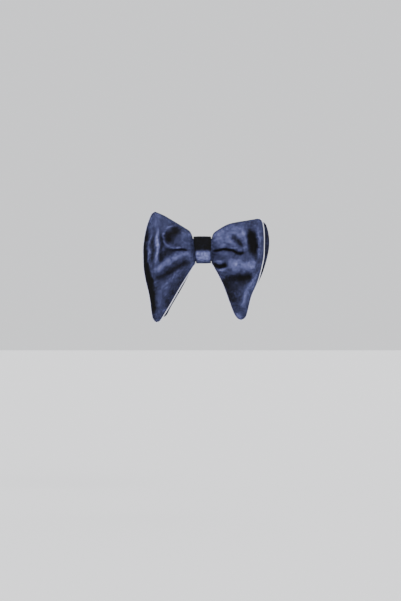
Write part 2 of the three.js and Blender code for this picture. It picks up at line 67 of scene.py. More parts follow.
# ---- cloth, in millimetres
VELVET = 1.0  # pile and backing
BAND_CLOTH = 1.2
CANVAS = 0.8
LAYER_GAP = 0.3
EDGE_ROLL = 1.7  # the face rolls round to its seam over this width
SEAM_ROOM = 0.25  # from the seam to the cloth on each side of it
FACE_PUFF = 4.2
PIPING_RADIUS = 0.55
PIPING_PROUD = 0.42  # how far its middle lies outside the seam
PIPING_TWIST = 3.2  # length of one full turn of its plies
SEAM_CLOTH = 0.2  # how thin the cloth is pressed in the seam
SEAM_CLEAR = 0.05  # least room between the seam plane and a cloth
BESIDE_KNOT = 10  # the cloth leaves the knot this far from the middle
WING_SPREAD = 1.3  # how far the bows' seams part on their way out
WING_COLUMNS = 58
WING_ROWS = 100
CANVAS_TRIM = 4  # grid lines by which the interlining stops short of the seam
LINE_STEPS = 40  # places along a fold

KNOT = "knot_wrap"
FRONT = "front_bow_face"


# ---- the frame's own sizes
def points_of(node):
    """The vertices of a CAD node, in millimetres."""
    mesh = frame["nodes"][node].data
    found = np.zeros(len(mesh.vertices) * 3)
    mesh.vertices.foreach_get("co", found)
    return found.reshape(-1, 3) / MM


def joint_place(name):
    """Where a joint's axis crosses the neckband's middle plane, in millimetres."""
    found = next(j for j in frame["joints"] if j["name"] == name)
    return np.array(found["pos_m"][:2]) / MM


def smooth(t):
    t = np.clip(t, 0, 1)
    return t * t * (3 - 2 * t)


knot = points_of(KNOT)
KNOT_TOP = knot[:, 2].max()
knot_high = knot[knot[:, 2] > KNOT_TOP - 0.5]
knot_low = knot[knot[:, 2] < 0.5 - KNOT_TOP]
KNOT_LEFT = (knot_low[:, 0].min(), knot_high[:, 0].min())  # at its lower and its upper end
KNOT_RIGHT = (knot_low[:, 0].max(), knot_high[:, 0].max())
KNOT_FRONT = knot[:, 1].min()
MOUTH_MARGIN = 0.4
MOUTH_HALF = KNOT_TOP - 2.3  # half the height of a wing where it leaves the knot
KNOT_INSIDE = 3.5  # every layer lies flat this near the middle
KNOT_CLOTH = 1.35
KNOT_CORNER = 3.0
KNOT_SHOULDER = 2.3  # from the front velvet back to where the knot's ends begin to round
KNOT_ROUND, KNOT_ACROSS = 180, 49  # points round the knot and across it

LOOP_CENTRE = joint_place("slider_travel")
FLEX = joint_place("right_half_flex")
LOOP_RADIUS = np.linalg.norm(FLEX - LOOP_CENTRE)
FLEX_ANGLE = math.degrees(math.atan2(FLEX[0], LOOP_CENTRE[1] - FLEX[1]))
LOOP_BEND = 1.7  # radius at which the band turns round a bar
TAIL_LENGTH = 12.0
LAYER_STEP = BAND_CLOTH + LAYER_GAP
BAND_WIDTH = 2 * points_of("band_centre")[:, 2].max()
RIB = 1.3  # from one rib of the ribbon to the next
RIB_HEIGHT = 0.07
STRAIGHT_TO = 10.6  # the band runs straight behind the knot to here
BAND_MEET = 0.15  # half the gap between the two halves' ribbons, behind the knot
TACK_IN = 8  # from a bar to its row of stitches
TACK_HALF = 7
LABEL_HALF = 11.0
PLIES = 3
PLY_DEPTH = 0.13  # depth of the grooves between plies, as a share of the cord's radius


# ---- meshes
def add_object(name, data):
    made = bpy.data.objects.new(name, data)
    bpy.context.scene.collection.objects.link(made)
    return made


def settle(piece):
    """Keeps what a piece's modifiers make as its plain mesh."""
    depsgraph = bpy.context.evaluated_depsgraph_get()
    made = bpy.data.meshes.new_from_object(piece.evaluated_get(depsgraph))
    made.name = piece.name
    piece.modifiers.clear()
    piece.data = made


def mesh_object(name, points, faces, material):
    """A piece from points in millimetres, with its faces turned outwards."""
    mesh = bpy.data.meshes.new(name)
    mesh.from_pydata((np.asarray(points) * MM).tolist(), [], [tuple(f) for f in faces])
    mesh.validate()
    shape = bmesh.new()
    shape.from_mesh(mesh)
    bmesh.ops.recalc_face_normals(shape, faces=shape.faces)
    shape.to_mesh(mesh)
    shape.free()
    mesh.polygons.foreach_set("use_smooth", [True] * len(mesh.polygons))
    mesh.materials.append(material)
    return add_object(name, mesh)


def shell_faces(columns, rows, loop=False):
    """Quads of a closed sheet: a grid of front points, then the same grid of back points."""
    index = np.arange(columns * rows).reshape(columns, rows)
    if loop:
        index = np.vstack([index, index[:1]])
    back = columns * rows
    a, b, c, d = index[:-1, :-1], index[1:, :-1], index[1:, 1:], index[:-1, 1:]
    front = np.stack([a, b, c, d], -1).reshape(-1, 4)
    quads = [front, front[:, ::-1] + back]
    rims = [index[:, 0], index[:, -1]]
    if not loop:
        rims += [index[0], index[-1]]
    for edge in rims:
        quads.append(np.stack([edge[:-1], edge[:-1] + back, edge[1:] + back, edge[1:]], -1))
    return np.vstack(quads)


def sheet_object(name, front, back, material, loop=False):
    """A closed sheet between two grids of points, each columns by rows by 3."""
    columns, rows = front.shape[:2]
    points = np.vstack([front.reshape(-1, 3), back.reshape(-1, 3)])
    return mesh_object(name, points, shell_faces(columns, rows, loop), material)


def set_attribute(piece, name, values):
    """A number for each vertex, which the material reads by name."""
    layer = piece.data.attributes.new(name, "FLOAT", "POINT")
    layer.data.foreach_set("value", np.asarray(values, np.float32).ravel())


# ---- outlines of the wings
# Points are shares of a wing's reach, and of its rise (above zero) or its drop (below zero). The
# top and lower edges start at the knot's mouth, and the outer edge runs up from the lower corner.
OUTLINES = {
    "front_left": {
        "side": -1,
        "top": [(0.173, 0.364), (0.192, 0.43), (0.24, 0.52), (0.52, 0.785), (0.66, 0.91), (0.8, 1)],
        "outer": [(0.77, -1), (0.815, -0.975), (0.85, -0.9), (0.895, -0.64), (0.98, -0.32),
                  (1, -0.005), (0.98, 0.29), (0.94, 0.6), (0.885, 0.84), (0.852, 0.945), (0.8, 1)],
        "lower": [(0.13, -0.195), (0.17, -0.24), (0.37, -0.5), (0.56, -0.77), (0.68, -0.93),
                  (0.72, -0.98), (0.77, -1)],
    },
    "front_right": {
        "side": 1,
        "top": [(0.16, 0.45), (0.179, 0.53), (0.23, 0.615), (0.43, 0.83), (0.72, 0.94), (0.9, 1)],
        "outer": [(0.63, -1), (0.71, -0.94), (0.79, -0.67), (0.9, -0.44), (0.985, -0.14), (1, 0.15),
                  (0.995, 0.6), (0.965, 0.92), (0.9, 1)],
        "lower": [(0.156, -0.198), (0.2, -0.26), (0.34, -0.5), (0.5, -0.875), (0.57, -0.975),
                  (0.63, -1)],
    },
    "rear_left": {
        "side": -1,
        "top": [(0.27, 0.54), (0.65, 0.91), (0.8, 1)],
        "outer": [(0.7, -1), (0.82, -0.93), (0.9, -0.62), (0.975, -0.33), (1, -0.01),
                  (0.95, 0.55), (0.88, 0.94), (0.8, 1)],
        "lower": [(0.19, -0.29), (0.345, -0.545), (0.54, -0.83), (0.62, -0.96), (0.7, -1)],
    },
    "rear_right": {
        "side": 1,
        "top": [(0.25, 0.68), (0.5, 0.9), (0.82, 1), (0.9, 0.97)],
        "outer": [(0.58, -1), (0.65, -0.94), (0.71, -0.78), (0.78, -0.61), (0.9, -0.35),
                  (0.985, -0.05), (1, 0.38), (0.96, 0.82), (0.9, 0.97)],
        "lower": [(0.19, -0.29), (0.33, -0.55), (0.47, -0.9), (0.52, -0.98), (0.58, -1)],
    },
}


def spline(points, shares):
    """Places on a smooth curve through the points, at these shares of its length."""
    points = np.asarray(points, float)
    last = len(points) - 1
    t = np.linspace(0, last, 60 * last + 1)
    i = np.minimum(t.astype(int), last - 1)
    w = (t - i)[:, None]
    before, after = np.maximum(i - 1, 0), np.minimum(i + 2, last)
    p1, p2 = points[i], points[i + 1]
    v1, v2 = (p2 - points[before]) / 2, (points[after] - p1) / 2
    curve = (
        (2 * p1 - 2 * p2 + v1 + v2) * w**3
        + (-3 * p1 + 3 * p2 - 2 * v1 - v2) * w**2
        + v1 * w
        + p1
    )
    along = np.concatenate([[0], np.cumsum(np.linalg.norm(np.diff(curve, axis=0), axis=1))])
    at = np.asarray(shares) * along[-1]
    return np.stack([np.interp(at, along, curve[:, k]) for k in range(points.shape[1])], -1)


def wing_edges(outline, node):
    """The top, outer and lower edges of a wing, as lists of points in millimetres."""
    side = outline["side"]
    cad = points_of(node)
    cad = cad[cad[:, 0] * side > 0]
    reach = np.abs(cad[:, 0]).max()
    rise, drop = cad[:, 2].max(), -cad[:, 2].min()
    ends = KNOT_LEFT if side < 0 else KNOT_RIGHT

    def place(points):
        return [(side * x * reach, z * (rise if z > 0 else drop)) for x, z in points]

    mouth_low = (ends[0] + side * MOUTH_MARGIN, -MOUTH_HALF)
    mouth_top = (ends[1] + side * MOUTH_MARGIN, MOUTH_HALF)
    return {
        "top": [mouth_top, *place(outline["top"])],
        "outer": place(outline["outer"]),
        "lower": [mouth_low, *place(outline["lower"])],
    }


def crowded(count, share=0.55):
    """Shares from 0 to 1, closer together at both ends."""
    even = np.linspace(0, 1, count + 1)
    return even * (1 - share) + share * (1 - np.cos(math.pi * even)) / 2


def wing_grid(edges):
    """The wing's flat shape in XZ: a patch spanned by its edges, from the mouth outwards."""
    u, v = crowded(WING_COLUMNS), crowded(WING_ROWS)
    top, lower = spline(edges["top"], u)[:, None], spline(edges["lower"], u)[:, None]
    outer = spline(edges["outer"], v)[None]
    uu, vv = u[:, None, None], v[None, :, None]
    ruled_up = lower * (1 - vv) + top * vv
    ruled_out = (lower[0] * (1 - vv) + top[0] * vv) * (1 - uu) + outer * uu
    low = lower[0] * (1 - uu) + lower[-1] * uu
    high = top[0] * (1 - uu) + top[-1] * uu
    return ruled_up + ruled_out - (low * (1 - vv) + high * vv)


def distance_to(flat, path):
    """How far each point of a grid is from a path, in millimetres."""
    gap = flat[..., None, :] - np.asarray(path)
    return np.sqrt((gap**2).sum(-1)).min(-1)


# ---- folds of the front bow
class Fold(NamedTuple):
    """A fold of the cloth along a path in XZ. Half is half its width and rise how far it stands
    forward, in millimetres. The fourth field is painted light: how much painted highlight, or
    painted shade below zero, the fold puts on the velvet's colour, and fade is the share of its
    length over which it dies away at each end."""

    path: list
    half: float
    rise: float
    painted_light_and_mottle: float
    fade: float = 0.3


LEFT_FOLDS = [
    # the upper pouch, the painted shade on its crown and the painted highlight on the rim round it
    Fold([(-21, 14), (-30, 13)], 9.5, 3.4, 0.0, 0),
    Fold([(-28, 20.5), (-32, 15.5), (-34, 10.5)], 4.8, -0.5, -0.4, 0),
    Fold([(-37, 17), (-37, 11)], 2.8, -0.2, -0.2, 0),
    Fold([(-20, 23), (-28, 24.4), (-35, 22.6), (-39.6, 18), (-41, 12), (-39.2, 7), (-34, 2.8),
          (-25, 2.2), (-15, 2.8)], 1.1, 0.9, 0.28, 0.2),
    Fold([(-16, 16), (-18.5, 9)], 5.0, 0.3, 0.08, 0),
    # the hollow between the pouch and the side, with painted shade, and the fold down the side,
    # with a painted highlight
    Fold([(-43.4, 23), (-43.4, 14), (-42.6, 5), (-43.5, -5), (-46, -12)], 1.7, -1.8, -0.22),
    Fold([(-44, 26), (-46.6, 18), (-46.8, 9), (-46.2, 0), (-48, -10), (-50.5, -18)],
         1.8, 1.3, 0.34),
    Fold([(-49.6, 21), (-51, 12), (-51.4, 3), (-51.6, -8), (-52, -17)], 1.5, -1.0, -0.26),
    Fold([(-50.5, 27), (-53, 18), (-55, 6), (-56, -4), (-55.6, -13), (-53.4, -22), (-50.4, -32),
          (-48, -40)], 1.1, 0.9, 0.2, 0.2),
    Fold([(-47, 33), (-48, 27)], 4.2, 0.6, 0.12, 0),
    # the crease out from the knot, and the valley that it opens into, both with painted shade
    Fold([(-13, 0.4), (-20, -0.3), (-27, -0.2), (-34, -0.4)], 1.0, -2.3, -0.5),
    Fold([(-28, -0.6), (-35, -2.4), (-40.6, -6), (-46, -13.6)], 3.0, -1.8, -0.3, 0.2),
    # the broad roll down to the side with a painted highlight, the painted shade in the valley
    # under it, and the lower lobe with a little painted shade
    Fold([(-11, -4.6), (-19, -5.2), (-27, -7.4), (-35, -11.8), (-43, -18), (-50, -24)],
         3.9, 3.0, 0.2, 0.12),
    Fold([(-12, -12.6), (-21, -14.6), (-29, -19.4), (-36, -24), (-44, -28.6), (-51, -31)],
         3.2, -2.3, -0.34, 0.15),
    Fold([(-24, -10), (-33, -15.6), (-42, -22.6)], 1.2, -0.4, -0.12),
    Fold([(-30, -31), (-38, -36)], 9.0, 2.2, 0.0, 0),
    Fold([(-22, -24), (-32, -31), (-42, -37)], 1.6, 0.4, 0.08),
    Fold([(-46.5, -40), (-45, -52), (-44.6, -60), (-45, -70)], 2.6, 1.3, 0.02, 0.25),
    Fold([(-15, -22), (-26, -38), (-33, -50), (-40, -64)], 5.0, -0.3, -0.17, 0.2),
    # painted shade along the margin beside the outer seam, where the face turns away
    Fold([(-57, 26), (-60, 12), (-60.5, 0), (-59, -20), (-55.4, -38), (-52.4, -56), (-50.5, -70)],
         2.9, -0.3, -0.62, 0.12),
    Fold([(-58.6, -6), (-56, -22), (-53, -36), (-50.5, -52), (-49, -69)], 2.9, -0.2, -0.5, 0.45),
]
RIGHT_FOLDS = [
    # the upper pouch with a painted highlight, the slanting painted shade on it and the painted
    # highlight on the rim round its end
    Fold([(20, 14), (34, 13)], 11.0, 3.8, 0.22, 0),
    Fold([(28.4, 16), (34.5, 10.4), (42.6, 2.8)], 2.9, -0.7, -0.46, 0.25),
    Fold([(34, 24), (41, 19.5), (45, 12), (45.2, 5), (42.5, 0), (37, -1)], 1.7, 0.9, 0.2),
    # the crease out from the knot and the deep hollow at the side, both with painted shade, and the
    # painted highlight on the fold beyond it
    Fold([(9.5, -1.2), (17, -0.4), (24, 0.8), (31, -1.2), (37, -3.6), (44, -3.6)],
         1.2, -2.6, -0.66, 0.12),
    Fold([(47, 24), (49.6, 16), (51.6, 7), (53, -1), (54.8, -10)], 4.3, -3.6, -0.85, 0.36),
    Fold([(53.8, 28), (57.2, 20), (58.6, 8), (58.4, -3), (57, -13)], 1.9, 1.6, 0.2),
    Fold([(38, 29), (46, 27)], 4.5, 0.3, 0.02, 0),
    # small folds beside the knot, with painted shade in their hollows and painted highlights on
    # their ridges
    Fold([(12, -6), (18, -8)], 3.4, -0.5, -0.1, 0),
    Fold([(10, -12.6), (17, -12.6), (23, -12)], 1.3, 0.9, 0.2),
    Fold([(10.6, -15.8), (17, -16.6), (26, -16)], 1.9, -2.0, -0.8, 0.15),
    Fold([(14, -20.6), (20, -20.8), (27, -19.4)], 1.2, 0.8, 0.28),
    # the broad roll across with a painted highlight, the painted shade in the valley under it, and
    # the lower lobe with its own painted shade and highlights
    Fold([(25, -13.6), (34, -15.8), (44, -16.4), (56, -16)], 5.0, 2.8, 0.24, 0.12),
    Fold([(22, -27.4), (30, -29), (40, -29.4), (52, -27)], 3.3, -2.4, -0.22, 0.15),
    Fold([(30, -28.4), (40, -29), (48, -29), (56, -26.4)], 3.2, -0.3, -0.24, 0.3),
    Fold([(22, -32), (34, -35), (46, -33)], 5.0, -0.2, -0.16, 0),
    Fold([(20, -30), (26, -43), (31, -56)], 5.6, 0.2, -0.3, 0.1),
    Fold([(36, -42), (38, -56)], 7.0, 1.6, -0.1, 0),
    Fold([(56, -24), (51.4, -33), (46.4, -42), (43, -51), (41, -62)], 2.7, 1.7, 0.26, 0.15),
    Fold([(36.5, -68), (40, -72)], 2.0, 0.2, 0.16, 0),
]
# The rear bow hardly shows, and its folds only run out from the knot.
REAR_FOLDS = [
    Fold([(side * x, z) for x, z in path], half, rise, 0.0)
    for side in (-1, 1)
    for path, half, rise in [
        ([(12, 6), (30, 12), (56, 18)], 5.0, 0.9),
        ([(12, -1), (34, -3), (62, -2)], 3.0, -0.8),
        ([(12, -8), (34, -18), (56, -26)], 4.6, 0.9),
        ([(14, -14), (30, -34), (42, -54)], 4.0, -0.5),
    ]
]


def folded(flat, folds):
    """The height, and the painted light and shade, that all folds give at each point of a grid."""
    # no fold runs true: each place strays by up to 0.8 mm in long waves and 0.25 mm in short ones
    wander = np.stack([ripple(flat, 31, 11), ripple(flat, 32, 11)], -1) * 0.8
    wander += np.stack([ripple(flat, 33, 4), ripple(flat, 34, 4)], -1) * 0.25
    height, painted_light_and_mottle = np.zeros(flat.shape[:-1]), np.zeros(flat.shape[:-1])
    for fold in folds:
        line = spline(fold.path, np.linspace(0, 1, LINE_STEPS))
        gap = (flat + wander)[..., None, :] - line
        apart = (gap**2).sum(-1)
        nearest = apart.argmin(-1) / (LINE_STEPS - 1)
        ends = np.minimum(nearest, 1 - nearest) / max(fold.fade, 0.001)
        strength = 0.12 + 0.88 * smooth(ends) if fold.fade else 1.0
        share = np.exp(-apart.min(-1) / (fold.half * (0.6 + 0.4 * strength)) ** 2) * strength
        height += fold.rise * share
        painted_light_and_mottle += fold.painted_light_and_mottle * share
    return height, painted_light_and_mottle


def ripple(flat, seed, size):
    """Soft uneven ground between -1 and 1, from a few waves in seeded directions."""
    rng = np.random.default_rng(seed)
    waves = 9
    total = np.zeros(flat.shape[:-1])
    for _ in range(waves):
        angle, phase = rng.uniform(0, math.pi), rng.uniform(0, 2 * math.pi)
        length = size * rng.uniform(0.6, 1.8)
        wave = flat[..., 0] * math.cos(angle) + flat[..., 1] * math.sin(angle)
        total += np.sin(2 * math.pi * wave / length + phase)
    return total / (waves / 2)


# ---- a bow: two wings and the waist between them
def layer_middle(node):
    """The middle of a cloth layer in the knot, from the frame."""
    cad = points_of(node)
    inside = cad[np.abs(cad[:, 0]) < KNOT_INSIDE]
    return (inside[:, 1].min() + inside[:, 1].max()) / 2


def parted(x):
    """How far a bow's seam has moved off the middle of its layers, out from the knot."""
    return smooth((np.abs(x) - BESIDE_KNOT) / 27) * WING_SPREAD / 2


def bow_shape(left, right, face_node, back_node, sign):
    """The flat grid of a whole bow, with its seam plane and how far each point is from the seam."""
    middle = (layer_middle(face_node) + layer_middle(back_node)) / 2
    grids, rims = [], []
    for name in (left, right):
        edges = wing_edges(OUTLINES[name], face_node)
        grid = wing_grid(edges)
        even = np.linspace(0, 1, 160)
        outline = np.vstack([spline(edges[e], even) for e in ("top", "outer", "lower")])
        grids.append(grid)
        rims.append(distance_to(grid, outline))
    # the waist is held inside its binding, and two columns of points span it
    waist_half = points_of("gather_binding")[:, 2].max() - 1.1
    v = crowded(WING_ROWS)
    waist = [np.stack([np.full_like(v, x), (2 * v - 1) * waist_half], -1) for x in (-3.0, 3.0)]
    flat = np.concatenate([grids[0][::-1], np.stack(waist), grids[1]])
    rim = np.concatenate([rims[0][::-1], np.full((2, len(v)), EDGE_ROLL), rims[1]])
    out = np.abs(flat[..., 0])
    return {"flat": flat, "rim": rim, "plane": middle + sign * parted(out), "out": out}


def rolled(rim):
    """0 at the seam and 1 where the face has rolled fully round."""
    return np.sqrt(np.clip(1 - (1 - np.clip(rim / EDGE_ROLL, 0, 1)) ** 2, 0, 1))


def grid_points(shape, y):
    return np.stack([shape["flat"][..., 0], y, shape["flat"][..., 1]], -1)


def puffed(shape, puff, folds, seed):
    """How far the face stands forward of its own flat layer, and the painted light and shade on it.
    """
    flat, rim, out = shape["flat"], shape["rim"], shape["out"]
    height, painted_light_and_mottle = folded(flat, folds)
    free = smooth((out - 9.8) / 9)
    height = height + ripple(flat, seed, 16) * 0.35 + ripple(flat, seed + 1, 7) * 0.09
    full = puff * smooth(rim / 15)
    # the gathers are 3 mm apart at the knot, open out away from it and die away over 7 mm
    gathers = np.sin(flat[..., 1] * 2.1 / (1 + out / 30) + 0.9 * np.sign(flat[..., 0]))
    dying = np.exp(-np.clip(out - BESIDE_KNOT, 0, None) / 7)
    pleats = gathers * 0.5 * dying * smooth((out - 9.5) / 2)
    forward = (full + height * smooth(rim / 5)) * free + pleats * smooth(rim / 3)
    return forward, painted_light_and_mottle * smooth(rim / 1.5)


def build_bow(shape, names, puff, back_puff, folds, seed, materials):
    """Face, interlining and back panel of one bow, as three closed sheets."""
    half = VELVET + LAYER_GAP + CANVAS / 2
    plane, roll = shape["plane"], rolled(shape["rim"])
    forward, painted_light_and_mottle = puffed(shape, puff, folds, seed)
    front = plane - SEAM_ROOM - (half - SEAM_ROOM) * roll - forward
    thick = SEAM_CLOTH + (VELVET - SEAM_CLOTH) * roll
    rear = np.minimum(front + thick, plane - SEAM_CLEAR)
    sides = grid_points(shape, front), grid_points(shape, rear)
    face = sheet_object(names[0], *sides, materials[0])
    backward = back_puff * forward / max(puff, 0.1)
    wave = ripple(shape["flat"], seed + 2, 22) * 0.25
    wave = wave * smooth(shape["rim"] / 6) * smooth((shape["out"] - BESIDE_KNOT) / 8)
    outside = plane + SEAM_ROOM + (half - SEAM_ROOM) * roll - backward + wave
    inside = np.maximum(outside - thick, plane + SEAM_CLEAR - backward)
    sides = grid_points(shape, inside), grid_points(shape, outside)
    back = sheet_object(names[2], *sides, materials[2])
    core = np.maximum(rear + LAYER_GAP, plane - CANVAS / 2 - forward)
    low = np.minimum(core + CANVAS * roll + 0.02, inside - 0.02)
    core = np.minimum(core, low - 0.01)
    kept = slice(CANVAS_TRIM, -CANVAS_TRIM)
    flat = {"flat": shape["flat"][kept, kept]}
    sides = grid_points(flat, core[kept, kept]), grid_points(flat, low[kept, kept])
    canvas = sheet_object(names[1], *sides, materials[1])
    return face, canvas, back, painted_light_and_mottle


# ---- materials
def linear(code):
    """An sRGB hex colour as linear red, green, blue and alpha."""
    values = [int(code[i : i + 2], 16) / 255 for i in (1, 3, 5)]
    return [v / 12.92 if v <= 0.04045 else ((v + 0.055) / 1.055) ** 2.4 for v in values] + [1.0]


def node(tree, kind, inputs=None, stops=(), **settings):
    """Adds a node. Its inputs take sockets or plain values, a ramp its stops as (place, hex colour)
    pairs, and settings are the node's own properties. Gives the node's outputs."""
    made = tree.nodes.new(kind)
    for key, value in settings.items():
        setattr(made, key, value)
    for key, value in (inputs or {}).items():
        if isinstance(value, bpy.types.NodeSocket):
            tree.links.new(value, made.inputs[key])
        else:
            made.inputs[key].default_value = value
    for i, (place, code) in enumerate(stops):
        elements = made.color_ramp.elements
        element = elements[i] if i < 2 else elements.new(place)
        element.position, element.color = place, linear(code)
    return made.outputs


def blank_material(name):
    material = bpy.data.materials.new(name)
    material.use_nodes = True
    material.node_tree.nodes.clear()
    return material, material.node_tree


def finish_material(tree, **inputs):
    """Ends a material in one shader, with its inputs named as the shader's own, joined by _."""
    values = {key.replace("_", " "): value for key, value in inputs.items()}
    surface = node(tree, "ShaderNodeBsdfPrincipled", values)["BSDF"]
    node(tree, "ShaderNodeOutputMaterial", {"Surface": surface})


def per_metre(size):
    """The scale at which a noise texture's grain has this size in millimetres."""
    return 1 / (size * MM)


def rows_per_metre(pitch):
    """The scale at which a wave texture's rows lie this far apart in millimetres."""
    return math.pi / (10 * pitch * MM)


def make_velvet():
    """Cotton velvet: short dense cut pile. Its colour runs from near black to pale with painted
    light and shade read from an attribute, over random tufts, uneven brushing and a faint twill,
    and its tips sparkle."""
    material, tree = blank_material("cotton_velvet_navy")
    place = node(tree, "ShaderNodeTexCoord")["Object"]
    # painted highlights and shade, with random mottle, come in as an attribute
    painted_light_and_mottle = node(tree, "ShaderNodeAttribute", attribute_name="painted_light_and_mottle")["Fac"]
    # tufts are 0.3 mm apart, and are drawn about five times as coarse so that they show
    tufts = node(
        tree, "ShaderNodeTexNoise",
        {"Vector": place, "Scale": per_metre(1.5), "Detail": 3.0, "Roughness": 0.85},
    )["Fac"]
    # the pile lies unevenly over some 5 mm
    brushed = node(
        tree, "ShaderNodeTexNoise", {"Vector": place, "Scale": per_metre(5), "Detail": 2.0}
    )["Fac"]
    tone = node(
        tree, "ShaderNodeMath", {0: tufts, 1: 1.05, 2: painted_light_and_mottle}, operation="MULTIPLY_ADD"
    )["Value"]
    tone = node(
        tree, "ShaderNodeMath", {0: brushed, 1: 0.3, 2: tone}, operation="MULTIPLY_ADD"
    )["Value"]
    # the ground's twill, 0.6 mm apart and drawn at 1.7 mm so that it shows, is a faint criss-cross
    for lean in (45, -45):
        turned = node(
            tree, "ShaderNodeMapping", {"Vector": place, "Rotation": (0, math.radians(lean), 0)}
        )["Vector"]
        rows = node(
            tree, "ShaderNodeTexWave",
            {
                "Vector": turned, "Scale": rows_per_metre(1.7), "Distortion": 2.0,
                "Detail Scale": 2.0,
            },
        )["Fac"]
        tone = node(
            tree, "ShaderNodeMath", {0: rows, 1: 0.05, 2: tone}, operation="MULTIPLY_ADD"
        )["Value"]
    # about half of the patterns' strength is taken off again, so that the painted light and shade,
    # with its mottle, sets the mean
    tone = node(tree, "ShaderNodeMath", {0: tone, 1: 0.735}, operation="SUBTRACT")["Value"]
    colour = node(
        tree, "ShaderNodeValToRGB", {"Fac": tone},
        stops=[
            (0, "#040406"), (1, "#979bcb"),
            (0.22, "#141524"), (0.5, "#303350"), (0.75, "#5a5e8a"),
        ],
    )["Color"]
    pile = node(
        tree, "ShaderNodeBump", {"Height": tufts, "Strength": 0.6, "Distance": 0.3 * MM}
    )["Normal"]
    finish_material(
        tree, Base_Color=colour, Normal=pile, Roughness=0.7, Specular_IOR_Level=0.1,
        Sheen_Weight=0.1, Sheen_Roughness=0.35, Sheen_Tint=linear("#9a9fc8"),
    )
    return material


def make_lining():
    """Polyester satin: long floats that give smooth cloth with a soft sheen along faint ridges."""
    material, tree = blank_material("polyester_satin_navy")
    place = node(tree, "ShaderNodeTexCoord")["Object"]
    turned = node(
        tree, "ShaderNodeMapping", {"Vector": place, "Rotation": (0, math.radians(63), 0)}
    )["Vector"]
    # floats are 0.2 mm apart, drawn at 0.8 mm so that they show
    floats = node(
        tree, "ShaderNodeTexWave",
        {"Vector": turned, "Scale": rows_per_metre(0.8), "Distortion": 0.6},
    )["Fac"]
    slubs = node(
        tree, "ShaderNodeTexNoise", {"Vector": place, "Scale": per_metre(2.2), "Detail": 2.0}
    )["Fac"]
    tone = node(
        tree, "ShaderNodeMath", {0: floats, 1: 0.25, 2: slubs}, operation="MULTIPLY_ADD"
    )["Value"]
    colour = node(
        tree, "ShaderNodeValToRGB", {"Fac": tone}, stops=[(0.3, "#15182c"), (0.95, "#232845")]
    )["Color"]
    ridges = node(
        tree, "ShaderNodeBump", {"Height": floats, "Strength": 0.35, "Distance": 0.08 * MM}
    )["Normal"]
    finish_material(tree, Base_Color=colour, Normal=ridges, Roughness=0.42, Specular_IOR_Level=0.45)
    return material


def make_canvas():
    """Cotton canvas interlining: a plain weave of thick natural yarn, dry and matt."""
    material, tree = blank_material("cotton_canvas_natural")
    place = node(tree, "ShaderNodeTexCoord")["Object"]
    # yarns are 0.8 mm apart
    warp, weft = (
        node(
            tree, "ShaderNodeTexWave",
            {"Vector": place, "Scale": rows_per_metre(0.8), "Distortion": 0.5},
            bands_direction=axis,
        )["Fac"]
        for axis in "XZ"
    )
    weave = node(tree, "ShaderNodeMath", {0: warp, 1: weft}, operation="MULTIPLY")["Value"]
    nep = node(
        tree, "ShaderNodeTexNoise", {"Vector": place, "Scale": per_metre(2.5), "Detail": 4.0}
    )["Fac"]
    tone = node(
        tree, "ShaderNodeMath", {0: weave, 1: 0.5, 2: nep}, operation="MULTIPLY_ADD"
    )["Value"]
    colour = node(
        tree, "ShaderNodeValToRGB", {"Fac": tone}, stops=[(0.3, "#a89f88"), (1, "#ddd6c4")]
    )["Color"]
    yarns = node(
        tree, "ShaderNodeBump", {"Height": weave, "Strength": 0.6, "Distance": 0.2 * MM}
    )["Normal"]
    finish_material(tree, Base_Color=colour, Normal=yarns, Roughness=0.9, Specular_IOR_Level=0.2)
    return material


def make_felt():
    """Pressed wool felt: matted fibres with no weave, seen as soft grey mottling."""
    material, tree = blank_material("wool_felt_grey")
    place = node(tree, "ShaderNodeTexCoord")["Object"]
    fibres = node(
        tree, "ShaderNodeTexNoise",
        {"Vector": place, "Scale": per_metre(1.2), "Detail": 6.0, "Distortion": 1.5},
    )["Fac"]
    colour = node(
        tree, "ShaderNodeValToRGB", {"Fac": fibres}, stops=[(0.3, "#55565c"), (0.75, "#8b8c92")]
    )["Color"]
    nap = node(
        tree, "ShaderNodeBump", {"Height": fibres, "Strength": 0.7, "Distance": 0.3 * MM}
    )["Normal"]
    finish_material(
        tree, Base_Color=colour, Normal=nap, Roughness=0.95, Specular_IOR_Level=0.15,
        Sheen_Weight=0.2,
    )
    return material


def make_thread(name, dark, light, roughness):
    """Spun thread: fine fibres that catch a little light along each ply."""
    material, tree = blank_material(name)
    place = node(tree, "ShaderNodeTexCoord")["Object"]
    fibres = node(
        tree, "ShaderNodeTexNoise", {"Vector": place, "Scale": per_metre(0.35), "Detail": 4.0}
    )["Fac"]
    colour = node(
        tree, "ShaderNodeValToRGB", {"Fac": fibres}, stops=[(0.3, dark), (0.7, light)]
    )["Color"]
    lie = node(
        tree, "ShaderNodeBump", {"Height": fibres, "Strength": 0.3, "Distance": 0.05 * MM}
    )["Normal"]
    finish_material(
        tree, Base_Color=colour, Normal=lie, Roughness=roughness, Specular_IOR_Level=0.35,
        Sheen_Weight=0.15,
    )
    return material


